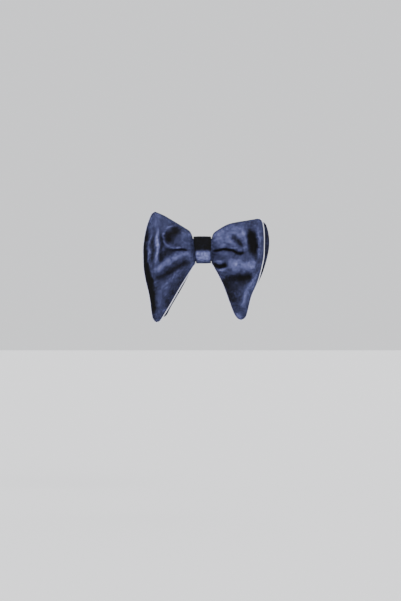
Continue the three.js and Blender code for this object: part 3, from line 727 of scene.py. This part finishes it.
def make_grosgrain():
    """Grosgrain: fine warp packed over thick weft, which gives ribs across and a dull sheen."""
    material, tree = blank_material("grosgrain_navy")
    along = node(tree, "ShaderNodeUVMap", uv_map="weave")["UV"]
    axes = node(tree, "ShaderNodeSeparateXYZ", {0: along})
    # one rib to 1.3 mm, with painted shade in the grooves between
    ribs = node(
        tree, "ShaderNodeTexWave",
        {"Vector": along, "Scale": rows_per_metre(RIB), "Phase Offset": math.pi / 2},
    )["Fac"]
    # warp ends, 0.25 mm apart and drawn at 0.6 mm so that they show
    warp = node(
        tree, "ShaderNodeTexWave",
        {"Vector": along, "Scale": rows_per_metre(0.6), "Distortion": 0.4}, bands_direction="Y",
    )["Fac"]
    weave = node(
        tree, "ShaderNodeMath", {0: warp, 1: 0.3, 2: ribs}, operation="MULTIPLY_ADD"
    )["Value"]
    fade = node(
        tree, "ShaderNodeTexNoise", {"Vector": along, "Scale": per_metre(9), "Detail": 3.0}
    )["Fac"]
    tone = node(
        tree, "ShaderNodeMath", {0: fade, 1: 0.5, 2: weave}, operation="MULTIPLY_ADD"
    )["Value"]
    # the selvedges, the outer 0.8 mm, are woven tighter and look darker
    side = node(tree, "ShaderNodeMath", {0: axes["Y"]}, operation="ABSOLUTE")["Value"]
    edge = node(
        tree, "ShaderNodeMath", {0: side, 1: (BAND_WIDTH / 2 - 0.8) * MM}, operation="GREATER_THAN"
    )["Value"]
    tone = node(
        tree, "ShaderNodeMath", {0: edge, 1: -0.4, 2: tone}, operation="MULTIPLY_ADD"
    )["Value"]
    colour = node(
        tree, "ShaderNodeValToRGB", {"Fac": tone},
        stops=[(0.1, "#0b0d1a"), (1, "#262b4a"), (0.6, "#181c34")],
    )["Color"]
    threads = node(
        tree, "ShaderNodeBump", {"Height": weave, "Strength": 0.5, "Distance": 0.12 * MM}
    )["Normal"]
    finish_material(
        tree, Base_Color=colour, Normal=threads, Roughness=0.55, Specular_IOR_Level=0.35,
        Sheen_Weight=0.1,
    )
    return material


def make_nickel():
    """Nickel-plated pressed steel: bright, with fine rolling lines and slight dulling."""
    material, tree = blank_material("nickel_plated_steel")
    place = node(tree, "ShaderNodeTexCoord")["Object"]
    drawn = node(tree, "ShaderNodeMapping", {"Vector": place, "Scale": (12, 12, 1)})["Vector"]
    # rolling lines, 0.1 mm wide and over 1 mm long
    lines = node(
        tree, "ShaderNodeTexNoise", {"Vector": drawn, "Scale": per_metre(1.5), "Detail": 4.0}
    )["Fac"]
    dulled = node(
        tree, "ShaderNodeTexNoise", {"Vector": place, "Scale": per_metre(4), "Detail": 3.0}
    )["Fac"]
    gloss = node(
        tree, "ShaderNodeMapRange",
        {"Value": dulled, "From Min": 0.3, "From Max": 0.7, "To Min": 0.2, "To Max": 0.36},
    )["Result"]
    colour = node(
        tree, "ShaderNodeValToRGB", {"Fac": lines}, stops=[(0.3, "#b9b4ab"), (0.7, "#d6d2ca")]
    )["Color"]
    scratches = node(
        tree, "ShaderNodeBump", {"Height": lines, "Strength": 0.12, "Distance": 0.03 * MM}
    )["Normal"]
    finish_material(tree, Base_Color=colour, Normal=scratches, Roughness=gloss, Metallic=1.0)
    return material


def make_label_satin():
    """Woven label satin: off-white, with close ribs."""
    material, tree = blank_material("label_satin_white")
    along = node(tree, "ShaderNodeUVMap", uv_map="weave")["UV"]
    ribs = node(
        tree, "ShaderNodeTexWave",
        {"Vector": along, "Scale": rows_per_metre(0.5), "Distortion": 0.3}, bands_direction="Y",
    )["Fac"]
    cloud = node(
        tree, "ShaderNodeTexNoise", {"Vector": along, "Scale": per_metre(3), "Detail": 3.0}
    )["Fac"]
    tone = node(
        tree, "ShaderNodeMath", {0: ribs, 1: 0.4, 2: cloud}, operation="MULTIPLY_ADD"
    )["Value"]
    colour = node(
        tree, "ShaderNodeValToRGB", {"Fac": tone}, stops=[(0.3, "#cdc9c0"), (0.9, "#efece6")]
    )["Color"]
    weave = node(
        tree, "ShaderNodeBump", {"Height": ribs, "Strength": 0.3, "Distance": 0.06 * MM}
    )["Normal"]
    finish_material(tree, Base_Color=colour, Normal=weave, Roughness=0.4, Specular_IOR_Level=0.5)
    return material


velvet = make_velvet()
lining = make_lining()
canvas = make_canvas()
felt = make_felt()
cord = make_thread("mercerised_cotton_pale", "#b9bad4", "#f2f2fb", 0.5)
thread = make_thread("polyester_thread_navy", "#191d36", "#3b4270", 0.45)
ribbon = make_grosgrain()
nickel = make_nickel()
label = make_label_satin()


class Bow(NamedTuple):
    """How a bow is made. Sign is which way its seam leans, puff and back_puff are how full its face
    and its back are in millimetres, base is the mean tone of its velvet, set lower on the rear bow
    as painted shade, seam_shade how much painted shade darkens it along the seam and mottle how
    much its tone varies at random. Cuts are its velvet, its interlining and its lining before they
    were gathered: width, length and area in square millimetres."""

    sign: int
    puff: float
    back_puff: float
    folds: list
    seed: int
    base: float
    seam_shade: float
    mottle: float
    mottle_seed: int
    cuts: list


BOWS = {
    "front": Bow(
        sign=-1, puff=FACE_PUFF, back_puff=0.5, folds=LEFT_FOLDS + RIGHT_FOLDS, seed=3,
        base=0.44, seam_shade=0.06, mottle=0.05, mottle_seed=11,
        cuts=[(130, 118, 9400), (126, 114, 8400), (128, 116, 8400)],
    ),
    # the rear bow's lower mean tone is painted shade, for it lies behind the front bow
    "rear": Bow(
        sign=1, puff=1.0, back_puff=0.3, folds=REAR_FOLDS, seed=23,
        base=0.24, seam_shade=0.0, mottle=0.06, mottle_seed=12,
        cuts=[(132, 112, 8500), (128, 108, 7600), (131, 110, 8400)],
    ),
}


# ---- pieces
def hand_over(pieces, flat_sizes, cads):
    """Puts a bow's three cloths in place of the frame's: hides the frame's cloths and hangs the new
    ones from the root.
    """
    for piece, (width, length, area), cad, slot in zip(
        pieces, flat_sizes, cads, ("velvet", "interlining", "backing")
    ):
        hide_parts(cad)
        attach(piece, "root")


def make_bow(which, bow):
    cads = tuple(f"{which}_bow_{layer}" for layer in ("face", "interlining", "back"))
    names = tuple(f"{which}_bow_{cloth}" for cloth in ("velvet", "canvas", "lining"))
    shape = bow_shape(f"{which}_left", f"{which}_right", cads[0], cads[2], bow.sign)
    face, core, back, painted_light_and_mottle = build_bow(
        shape, names, bow.puff, bow.back_puff, bow.folds, bow.seed, (velvet, canvas, lining)
    )
    # the velvet's colour: the bow's mean tone, the folds' painted highlights and shade, painted
    # shade within about 1 mm of the seam, and random mottle
    painted_light_and_mottle = bow.base + painted_light_and_mottle - bow.seam_shade * np.exp(-((shape["rim"] / 1.0) ** 4))
    painted_light_and_mottle = painted_light_and_mottle + ripple(shape["flat"], bow.mottle_seed, 9) * bow.mottle
    set_attribute(face, "painted_light_and_mottle", np.concatenate([painted_light_and_mottle.ravel()] * 2))
    hand_over((face, core, back), bow.cuts, cads)


for which, bow in BOWS.items():
    make_bow(which, bow)


# ---- knot
def knot_section(inset, count):
    """The knot's outline in YZ: a flat back, round corners, straight ends and a full front."""
    corner = KNOT_CORNER
    shoulder = layer_middle(FRONT) + KNOT_SHOULDER
    depth = shoulder - KNOT_FRONT - inset
    half = KNOT_TOP - inset
    turns = np.linspace(0, math.pi / 2, 9)
    low = np.stack([
        -corner + (corner - inset) * np.cos(turns),
        corner - KNOT_TOP - (corner - inset) * np.sin(turns),
    ], -1)
    sweep = np.linspace(-math.pi / 2, math.pi / 2, 61)
    power = 2 / 3  # 1 would give an ellipse, and less gives squarer ends
    bulge = np.stack([
        shoulder - depth * np.abs(np.cos(sweep)) ** power,
        half * np.sign(sweep) * np.abs(np.sin(sweep)) ** power,
    ], -1)
    high = low[::-1] * [1, -1]
    closed = np.vstack([low, bulge, high, low[:1]])
    along = np.concatenate([[0], np.cumsum(np.linalg.norm(np.diff(closed, axis=0), axis=1))])
    at = np.linspace(0, along[-1], count + 1)[:-1]
    return np.stack([np.interp(at, along, closed[:, k]) for k in (0, 1)], -1)


def make_knot():
    """The velvet wrap, with fine upright gathers on its front."""
    outer, inner = knot_section(0, KNOT_ROUND), knot_section(KNOT_CLOTH, KNOT_ROUND)
    share = np.linspace(1, 0, KNOT_ACROSS)

    def ring(section, lift):
        height = (section[:, 1] / KNOT_TOP + 1) / 2
        left = KNOT_LEFT[0] + (KNOT_LEFT[1] - KNOT_LEFT[0]) * height
        right = KNOT_RIGHT[0] + (KNOT_RIGHT[1] - KNOT_RIGHT[0]) * height
        x = left[:, None] + (right - left)[:, None] * share
        normal = section - np.array([outer[:, 0].min() / 2, 0])
        normal = normal / np.linalg.norm(normal, axis=1)[:, None]
        y = section[:, 0][:, None] + normal[:, 0][:, None] * lift
        z = section[:, 1][:, None] + normal[:, 1][:, None] * lift
        return np.stack([x, y, z], -1)

    rng = np.random.default_rng(5)
    front_ness = smooth((-outer[:, 0] - 5) / 6)[:, None]
    upper = smooth((outer[:, 1] + 6) / 16)[:, None]
    lift = np.zeros((KNOT_ROUND, KNOT_ACROSS))
    for centre in np.linspace(0.07, 0.93, 10):
        place = centre + rng.uniform(-0.025, 0.025)
        bend = 0.02 * np.sin(outer[:, 1] / 6 + rng.uniform(0, 6))[:, None]
        lift -= rng.uniform(0.2, 0.45) * np.exp(-(((share - place - bend) / 0.016) ** 2))
    lift = lift * front_ness * (0.25 + 0.75 * upper)
    edge = np.minimum(share, 1 - share)
    lift += -0.45 * np.exp(-((edge / 0.03) ** 2)) + 0.35 * np.sin(math.pi * share) * front_ness
    front = ring(outer, lift)
    back = ring(inner, np.zeros((KNOT_ROUND, KNOT_ACROSS)))
    piece = sheet_object("knot_velvet", front, back, velvet, loop=True)
    z = front[..., 2]
    # the knot's painted light and shade: painted shade above its middle, a painted highlight below
    # it, painted shade towards the sides, along each edge and at the lower end, and a little random
    # mottle
    painted_light_and_mottle = 0.72 * smooth((1.5 - z) / 4.5) - 0.1 * (2 * share - 1) ** 2
    painted_light_and_mottle = painted_light_and_mottle - 0.3 * np.exp(-((edge / 0.05) ** 2))
    painted_light_and_mottle = painted_light_and_mottle - 0.3 * smooth((-9 - z) / 5) + 0.06 * ripple(front[..., [0, 2]], 8, 5)
    # behind, the painted light and shade gives way to an even tone
    painted_light_and_mottle = 0.28 + (painted_light_and_mottle - 0.28) * front_ness
    set_attribute(piece, "painted_light_and_mottle", np.concatenate([painted_light_and_mottle.ravel()] * 2))
    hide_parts(KNOT)
    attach(piece, "root")


make_knot()


# ---- node trees
def new_tree(name, inputs):
    """An empty geometry node tree with its inputs, as (name, socket kind) pairs."""
    tree = bpy.data.node_groups.new(name, "GeometryNodeTree")
    tree.interface.new_socket("Geometry", in_out="INPUT", socket_type="NodeSocketGeometry")
    for title, kind in inputs:
        tree.interface.new_socket(title, in_out="INPUT", socket_type=f"NodeSocket{kind}")
    tree.interface.new_socket("Geometry", in_out="OUTPUT", socket_type="NodeSocketGeometry")
    return tree, tree.nodes.new("NodeGroupInput").outputs


def finish_tree(tree, geometry, material):
    """Ends a tree in Realize Instances and Set Material."""
    whole = node(tree, "GeometryNodeRealizeInstances", {"Geometry": geometry})["Geometry"]
    shaded = node(tree, "GeometryNodeSetShadeSmooth", {"Geometry": whole})["Geometry"]
    painted = node(tree, "GeometryNodeSetMaterial", {"Geometry": shaded, "Material": material})
    node(tree, "NodeGroupOutput", {"Geometry": painted["Geometry"]})


def make_cord_tree():
    """A cord of three plies, twisted along a path."""
    inputs = [("Radius", "Float"), ("Step", "Float"), ("Turn", "Float"), ("Material", "Material")]
    tree, given = new_tree("twisted_cord", inputs)
    path = node(tree, "GeometryNodeMeshToCurve", {"Mesh": given["Geometry"]})["Curve"]
    even = node(
        tree, "GeometryNodeResampleCurve", {"Curve": path, "Length": given["Step"]}, mode="LENGTH"
    )["Curve"]
    along = node(tree, "GeometryNodeSplineParameter")["Length"]
    turns = node(tree, "ShaderNodeMath", {0: along, 1: given["Turn"]}, operation="DIVIDE")["Value"]
    tilt = node(tree, "ShaderNodeMath", {0: turns, 1: 2 * math.pi}, operation="MULTIPLY")["Value"]
    twisted = node(tree, "GeometryNodeSetCurveTilt", {"Curve": even, "Tilt": tilt})["Curve"]
    circle = node(
        tree, "GeometryNodeCurvePrimitiveCircle", {"Resolution": 12, "Radius": given["Radius"]}
    )["Curve"]
    place = node(tree, "GeometryNodeInputPosition")["Position"]
    axes = node(tree, "ShaderNodeSeparateXYZ", {0: place})
    turn = node(tree, "ShaderNodeMath", {0: axes["Y"], 1: axes["X"]}, operation="ARCTAN2")["Value"]
    plies = node(tree, "ShaderNodeMath", {0: turn, 1: PLIES}, operation="MULTIPLY")["Value"]
    lobe = node(tree, "ShaderNodeMath", {0: plies}, operation="COSINE")["Value"]
    size = node(
        tree, "ShaderNodeMath", {0: lobe, 1: PLY_DEPTH, 2: 1 - PLY_DEPTH}, operation="MULTIPLY_ADD"
    )["Value"]
    lobed = node(
        tree, "ShaderNodeVectorMath", {0: place, "Scale": size}, operation="SCALE"
    )["Vector"]
    profile = node(tree, "GeometryNodeSetPosition", {"Geometry": circle, "Position": lobed})
    tube = node(
        tree, "GeometryNodeCurveToMesh",
        {"Curve": twisted, "Profile Curve": profile["Geometry"], "Fill Caps": True},
    )["Mesh"]
    finish_tree(tree, tube, given["Material"])
    return tree


def make_stitch_tree():
    """Stitches at an even pitch along a path, leaning to one side and the other by turns."""
    inputs = [
        ("Pitch", "Float"), ("Thread", "Float"), ("Stitch", "Float"),
        ("Across", "Vector"), ("Lean", "Float"), ("Material", "Material"),
    ]
    tree, given = new_tree("stitch_row", inputs)
    path = node(tree, "GeometryNodeMeshToCurve", {"Mesh": given["Geometry"]})["Curve"]
    even = node(
        tree, "GeometryNodeResampleCurve", {"Curve": path, "Length": given["Pitch"]}, mode="LENGTH"
    )["Curve"]
    half = node(tree, "ShaderNodeMath", {0: given["Stitch"], 1: 0.5}, operation="MULTIPLY")["Value"]
    size = node(
        tree, "ShaderNodeCombineXYZ", {"X": half, "Y": given["Thread"], "Z": given["Thread"]}
    )["Vector"]
    ball = node(
        tree, "GeometryNodeMeshUVSphere", {"Segments": 8, "Rings": 6, "Radius": 1.0}
    )["Mesh"]
    stitch = node(tree, "GeometryNodeTransform", {"Geometry": ball, "Scale": size})["Geometry"]
    index = node(tree, "GeometryNodeInputIndex")["Index"]
    odd = node(tree, "ShaderNodeMath", {0: index, 1: 2}, operation="MODULO")["Value"]
    turn = node(tree, "ShaderNodeMath", {0: odd, 1: -2, 2: 1}, operation="MULTIPLY_ADD")["Value"]
    lean = node(tree, "ShaderNodeMath", {0: turn, 1: given["Lean"]}, operation="MULTIPLY")["Value"]
    tangent = node(tree, "GeometryNodeInputTangent")["Tangent"]
    leant = node(
        tree, "ShaderNodeVectorMath", {0: tangent, "Scale": lean}, operation="SCALE"
    )["Vector"]
    heading = node(
        tree, "ShaderNodeVectorMath", {0: leant, 1: given["Across"]}, operation="ADD"
    )["Vector"]
    turned = node(
        tree, "FunctionNodeAlignRotationToVector", {"Vector": heading}, axis="X"
    )["Rotation"]
    row = node(
        tree, "GeometryNodeInstanceOnPoints",
        {"Points": even, "Instance": stitch, "Rotation": turned},
    )["Instances"]
    finish_tree(tree, row, given["Material"])
    return tree


def grown(name, points, tree, **values):
    """Runs a node tree on a path of points in millimetres, and keeps what it makes as a mesh."""
    mesh = bpy.data.meshes.new(name + "_path")
    edges = [(i, i + 1) for i in range(len(points) - 1)]
    mesh.from_pydata((np.asarray(points) * MM).tolist(), edges, [])
    piece = add_object(name, mesh)
    modifier = piece.modifiers.new(tree.name, "NODES")
    modifier.node_group = tree
    for item in tree.interface.items_tree:
        if item.in_out == "INPUT" and item.name in values:
            modifier[item.identifier] = values[item.name]
    settle(piece)
    return piece


twisted_cord = make_cord_tree()
stitch_row = make_stitch_tree()


# ---- piping and binding
def make_piping(name, outline_name, cad):
    """A fine cord sewn into the front bow's seam, down its lower edge and up its outer edge."""
    edges = wing_edges(OUTLINES[outline_name], FRONT)
    even = np.linspace(0, 1, 240)
    lower, outer = spline(edges["lower"], even), spline(edges["outer"], even)
    flat = np.vstack([lower[6:], outer[1:-3]])  # it starts clear of the knot and ends at the corner
    tangent = np.gradient(flat, axis=0)
    tangent /= np.linalg.norm(tangent, axis=1)[:, None]
    outward = np.stack([tangent[:, 1], -tangent[:, 0]], -1) * OUTLINES[outline_name]["side"]
    flat = flat + outward * PIPING_PROUD
    middle = (layer_middle(FRONT) + layer_middle("front_bow_back")) / 2
    y = middle - parted(flat[:, 0]) - 0.15  # a little to the front, where it shows
    points = np.stack([flat[:, 0], y, flat[:, 1]], -1)
    piece = grown(
        name, points, twisted_cord,
        Radius=PIPING_RADIUS * MM, Step=0.3 * MM, Turn=PIPING_TWIST * MM, Material=cord,
    )
    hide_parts(cad)
    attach(piece, "root")


def make_binding():
    """Thread wound seven times round the gathered waist, under the knot."""
    low, high = (np.array(c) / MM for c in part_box("gather_binding"))
    radius, turns, corner = 0.3, 7, 1.2
    half = high[2] - radius
    arc = np.linspace(0, math.pi / 2, 6)
    ring = []
    for y, z, quarter in (
        (high[1] - corner, half - corner, 0), (low[1] + corner, half - corner, 1),
        (low[1] + corner, corner - half, 2), (high[1] - corner, corner - half, 3),
    ):
        turn = arc + quarter * math.pi / 2
        reach = corner - radius
        ring += [(y + reach * math.cos(t), z + reach * math.sin(t)) for t in turn]
    ring = np.array(ring)
    wound = np.vstack([ring] * turns)
    x = np.linspace(low[0] + radius, high[0] - radius, len(wound))
    points = np.column_stack([x, wound])
    piece = grown(
        "gather_binding_thread", points, twisted_cord,
        Radius=radius * MM, Step=0.5 * MM, Turn=2.4 * MM, Material=thread,
    )
    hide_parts("gather_binding")
    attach(piece, "root")


make_piping("front_piping_cord_left", "front_left", "front_piping_left")
make_piping("front_piping_cord_right", "front_right", "front_piping_right")
make_binding()


# ---- neckband
def on_loop(degrees, out=0.0):
    """A place on the band's loop: degrees round it from the knot, and how far outside the band."""
    turn = np.radians(degrees)
    reach = LOOP_RADIUS + np.asarray(out)
    return np.stack([reach * np.sin(turn), LOOP_CENTRE[1] - reach * np.cos(turn)], -1)


def degrees_of(length):
    return np.degrees(np.asarray(length) / LOOP_RADIUS)


def degrees_at(place):
    return math.degrees(math.atan2(place[0], LOOP_CENTRE[1] - place[1]))


def turned_back(bar, turn, out, tail_out):
    """The band turned back round a bar, and its sewn tail, from the outside layer inwards."""
    bend = np.linspace(0, math.pi, 25)
    ahead = turn * degrees_of(LOOP_BEND * np.sin(bend))
    round_bar = on_loop(bar + ahead, out - LOOP_BEND + LOOP_BEND * np.cos(bend))
    s = np.linspace(0, TAIL_LENGTH, 30)[1:]
    inner = out - 2 * LOOP_BEND
    sunk = inner + (tail_out - inner) * smooth((s - 0.8) / (TAIL_LENGTH / 2))
    return np.vstack([round_bar, on_loop(bar - turn * degrees_of(s), sunk)])


def knot_run():
    """The band from the knot's middle out to the loop, on the right."""
    end = on_loop(FLEX_ANGLE)
    depth = points_of("band_centre")[:, 1].min() + BAND_CLOTH / 2
    start = np.array([STRAIGHT_TO, depth])
    handle = (end[0] - start[0]) / 3
    turn = math.radians(FLEX_ANGLE)
    a, b = start + [handle, 0], end - handle * np.array([math.cos(turn), math.sin(turn)])
    t = np.linspace(0, 1, 30)[:, None]
    curve = start * (1 - t) ** 3 + 3 * a * t * (1 - t) ** 2 + 3 * b * t**2 * (1 - t) + end * t**3
    return np.vstack([[(BAND_MEET, depth)], curve])


def ribbon_piece(name, path, width, thickness, rib, material):
    """Ribbed ribbon standing on its edge along a path in XY, with rounded edges and a UV map in
    metres along and across it."""
    step = np.linalg.norm(np.diff(path, axis=0), axis=1)
    along = np.concatenate([[0], np.cumsum(step)])
    count = int(along[-1] / (rib / 6 if rib else 0.6))
    s = np.linspace(0, along[-1], count + 1)
    middle = np.stack([np.interp(s, along, path[:, k]) for k in (0, 1)], -1)
    window = 2 * int(0.9 / (s[1] - s[0])) + 1
    # a running mean over 2 mm eases the path's corners
    reach = window // 2
    longer = np.pad(middle, ((reach, reach), (0, 0)), mode="reflect", reflect_type="odd")
    kernel = np.ones(window) / window
    middle = np.stack([np.convolve(longer[:, k], kernel, "valid") for k in (0, 1)], -1)
    tangent = np.gradient(middle, axis=0)
    tangent /= np.linalg.norm(tangent, axis=1)[:, None]
    normal = np.stack([tangent[:, 1], -tangent[:, 0]], -1)
    v = np.sin(np.linspace(-1, 1, 11) * math.pi / 2)
    z = v * width / 2
    half = thickness / 2 * (0.3 + 0.7 * np.sqrt(np.clip(1 - np.abs(v) ** 10, 0, 1)))
    relief = RIB_HEIGHT * np.cos(2 * math.pi * s / rib) if rib else np.zeros(len(s))
    offset = half[None] - RIB_HEIGHT * bool(rib) + relief[:, None] * (1 - np.abs(v) ** 6)[None]
    sides = []
    for sign in (1, -1):
        xy = middle[:, None] + sign * offset[..., None] * normal[:, None]
        level = np.broadcast_to(z[None, :, None], (*xy.shape[:2], 1))
        sides.append(np.concatenate([xy, level], -1))
    piece = sheet_object(name, sides[0], sides[1], material)
    uv = np.stack(np.broadcast_arrays(s[:, None], z[None]), -1).reshape(-1, 2) * MM
    uv = np.vstack([uv, uv])
    layer = piece.data.uv_layers.new(name="weave")
    loops = np.zeros(len(piece.data.loops), int)
    piece.data.loops.foreach_get("vertex_index", loops)
    layer.data.foreach_set("uv", uv[loops].astype(np.float32).ravel())
    return piece


EYE_BAR = degrees_at(joint_place("eye_turn"))
HOOK_BAR = degrees_at(joint_place("hook_turn"))
slider_points = points_of("slider_frame")[:, :2]
SLIDER_BAR = degrees_at((slider_points.min(0) + slider_points.max(0)) / 2)


def make_band():
    for side, bar, name, body, cads in (
        (-1, -EYE_BAR, "grosgrain_band_left", "band_left", ["band_left"]),
        (1, HOOK_BAR, "grosgrain_band_right", "band_right", ["band_centre", "band_right"]),
    ):
        arc = on_loop(np.linspace(FLEX_ANGLE, bar, 200))[1:-1]
        path = np.vstack([knot_run(), arc, turned_back(bar, 1, 0, -LAYER_STEP)]) * [side, 1]
        piece = ribbon_piece(name, path, BAND_WIDTH, BAND_CLOTH, RIB, ribbon)
        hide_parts(*cads)
        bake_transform(piece)
    first = HOOK_BAR - degrees_of(TAIL_LENGTH + LAYER_GAP)
    run = on_loop(np.linspace(first, SLIDER_BAR, 30), -LAYER_STEP)[:-1]
    path = np.vstack([run, turned_back(SLIDER_BAR, -1, -LAYER_STEP, -2 * LAYER_STEP)])
    piece = ribbon_piece("grosgrain_band_return", path, BAND_WIDTH, BAND_CLOTH, RIB, ribbon)
    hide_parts("band_return")
    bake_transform(piece)


def make_tacks():
    """Bar tacks: close zigzag stitches across the band, through all its layers."""
    for name, degrees, layers, body in (
        ("bar_tack_left", EYE_BAR + degrees_of(TACK_IN), 2, "band_left"),
        ("bar_tack_right", HOOK_BAR - degrees_of(TACK_IN), 2, "band_right"),
        ("bar_tack_slider", SLIDER_BAR + degrees_of(TACK_IN), 3, "slider"),
    ):
        place = on_loop(degrees, -BAND_CLOTH / 2 - (layers - 1) * LAYER_STEP - 0.12)
        z = np.linspace(-TACK_HALF, TACK_HALF, 40)
        points = np.column_stack([np.tile(place, (len(z), 1)), z])
        turn = math.radians(degrees)
        piece = grown(
            name + "_stitches", points, stitch_row,
            Pitch=0.42 * MM, Thread=0.24 * MM, Stitch=2.3 * MM,
            Across=(math.cos(turn), math.sin(turn), 0.0), Lean=0.22, Material=thread,
        )
        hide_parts(name)
        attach(piece, body)


def make_label():
    """A blank woven label, sewn flat inside the left half along its two short ends."""
    low, high = (np.array(c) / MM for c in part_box("care_label"))
    middle = degrees_at(((low[0] + high[0]) / 2, (low[1] + high[1]) / 2))
    half = degrees_of(LABEL_HALF)
    out = -BAND_CLOTH / 2 - 0.42
    path = on_loop(np.linspace(middle - half, middle + half, 40), out)
    piece = ribbon_piece("care_label_satin", path, high[2] - low[2], 0.4, 0, label)
    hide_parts("care_label")
    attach(piece, "band_left")
    rows = []
    for end in (-1, 1):
        place = on_loop(middle + end * degrees_of(9.6), out - 0.2)
        z = np.linspace(-5.2, 5.2, 20)
        rows.append(np.column_stack([np.tile(place, (len(z), 1)), z]))
    for name, points in zip(("label_stitches_front", "label_stitches_rear"), rows):
        stitches = grown(
            name, points, stitch_row,
            Pitch=1.7 * MM, Thread=0.16 * MM, Stitch=1.4 * MM,
            Across=(0.0, 0.0, 0.0), Lean=1.0, Material=thread,
        )
        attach(stitches, "band_left")


def make_knot_seam():
    """Slip stitches that close the wrap under the band, where they don't show from the front."""
    low, high = (np.array(c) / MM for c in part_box("knot_seam_stitches"))
    x = np.linspace(-5.4, 5.4, 30)
    y, z = (low[1] + high[1]) / 2, high[2] + 0.24
    points = np.column_stack([x, np.full_like(x, y), np.full_like(x, z)])
    piece = grown(
        "knot_seam_slip_stitches", points, stitch_row,
        Pitch=1.2 * MM, Thread=0.18 * MM, Stitch=2.0 * MM,
        Across=(0.0, 1.0, 0.0), Lean=0.7, Material=thread,
    )
    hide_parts("knot_seam_stitches")
    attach(piece, "root")


def make_knot_pad():
    """The felt pad that keeps the knot full."""
    low, high = (np.array(c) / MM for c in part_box("knot_pad"))
    u = np.sin(np.linspace(-1, 1, 25) * math.pi / 2)
    uu, vv = np.meshgrid(u, u, indexing="ij")
    crown = np.sqrt(np.clip((1 - uu**4) * (1 - vv**4), 0, 1))
    x, z = uu * high[0] * 0.98, vv * high[2] * 0.98
    half = (high[1] - low[1]) / 2 * (0.12 + 0.88 * crown)
    middle = (high[1] + low[1]) / 2
    front = np.stack([x, middle - half, z], -1)
    back = np.stack([x, middle + half, z], -1)
    piece = sheet_object("knot_pad_felt", front, back, felt)
    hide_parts("knot_pad")
    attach(piece, "root")


# ---- clasp and slider
def make_metal(name, cad, body):
    """A pressed metal part with its edges eased, from the frame's own shape."""
    shape = bmesh.new()
    shape.from_mesh(frame["nodes"][cad].data)
    bmesh.ops.remove_doubles(shape, verts=shape.verts, dist=1e-6)
    bmesh.ops.dissolve_limit(
        shape, angle_limit=math.radians(0.5), verts=shape.verts, edges=shape.edges
    )
    bmesh.ops.recalc_face_normals(shape, faces=shape.faces)
    mesh = bpy.data.meshes.new(name)
    shape.to_mesh(mesh)
    shape.free()
    mesh.materials.clear()
    mesh.materials.append(nickel)
    mesh.polygons.foreach_set("use_smooth", [True] * len(mesh.polygons))
    piece = add_object(name, mesh)
    bevel = piece.modifiers.new("eased_edges", "BEVEL")
    bevel.width, bevel.segments, bevel.limit_method = 0.2 * MM, 3, "ANGLE"
    bevel.angle_limit = math.radians(35)
    bevel.harden_normals = True
    settle(piece)
    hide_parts(cad)
    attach(piece, body)


make_band()
make_tacks()
make_label()
make_knot_seam()
make_knot_pad()
make_metal("clasp_eye_plate", "eye_plate", "eye")
make_metal("clasp_hook_plate", "hook_plate", "hook")
make_metal("band_slider", "slider_frame", "slider")


# ---- studio
def make_studio():
    """A level camera far off, three broad lamps and a white floor under a pale sky."""
    row_size = 1.04 * MM  # what one row of the view takes in
    middle_x, middle_z = -2.0, -50.5  # the view's middle from the knot's, in rows
    distance = 3.0
    sensor = 36.0
    camera_data = bpy.data.cameras.new("camera")
    camera_data.sensor_width = sensor
    camera_data.lens = sensor * distance / (VIEW_ROWS * row_size)
    camera_data.clip_end = 20
    camera = add_object("camera", camera_data)
    camera.location = (middle_x * row_size, -distance, middle_z * row_size)
    camera.rotation_euler = (math.pi / 2, 0, 0)
    bpy.context.scene.camera = camera

    paper_material, tree = blank_material("studio_paper")
    finish_material(tree, Base_Color=linear("#f4f4f5"), Roughness=0.95, Specular_IOR_Level=0.1)
    floor_level, reach = -260.0, 9000.0
    corners = [(x, y, floor_level) for x, y in ((-1, -1), (1, -1), (1, 1), (-1, 1))]
    points = [(x * reach, y * reach, z) for x, y, z in corners]
    mesh_object("studio_floor", points, [(0, 1, 2, 3)], paper_material)

    # broad lamps far off: the key high on the right, a fill on the left and one behind
    for name, place, strength in (
        ("key", (0.75, -1.25, 0.85), 2.1),
        ("left_fill", (-1.1, -1.0, 0.35), 0.7),
        ("rear_fill", (0.3, 1.2, 0.8), 1.2),
    ):
        data = bpy.data.lights.new(name, "SUN")
        data.energy, data.angle = strength, math.radians(34)
        lamp = add_object(name, data)
        lamp.location = place
        lamp.rotation_mode = "QUATERNION"
        lamp.rotation_quaternion = Vector([-c for c in place]).to_track_quat("-Z", "Y")
    world = bpy.data.worlds.new("studio")
    world.use_nodes = True
    world.node_tree.nodes["Background"].inputs["Color"].default_value = linear("#f4f5f8")
    world.node_tree.nodes["Background"].inputs["Strength"].default_value = 1.15
    bpy.context.scene.world = world


make_studio()
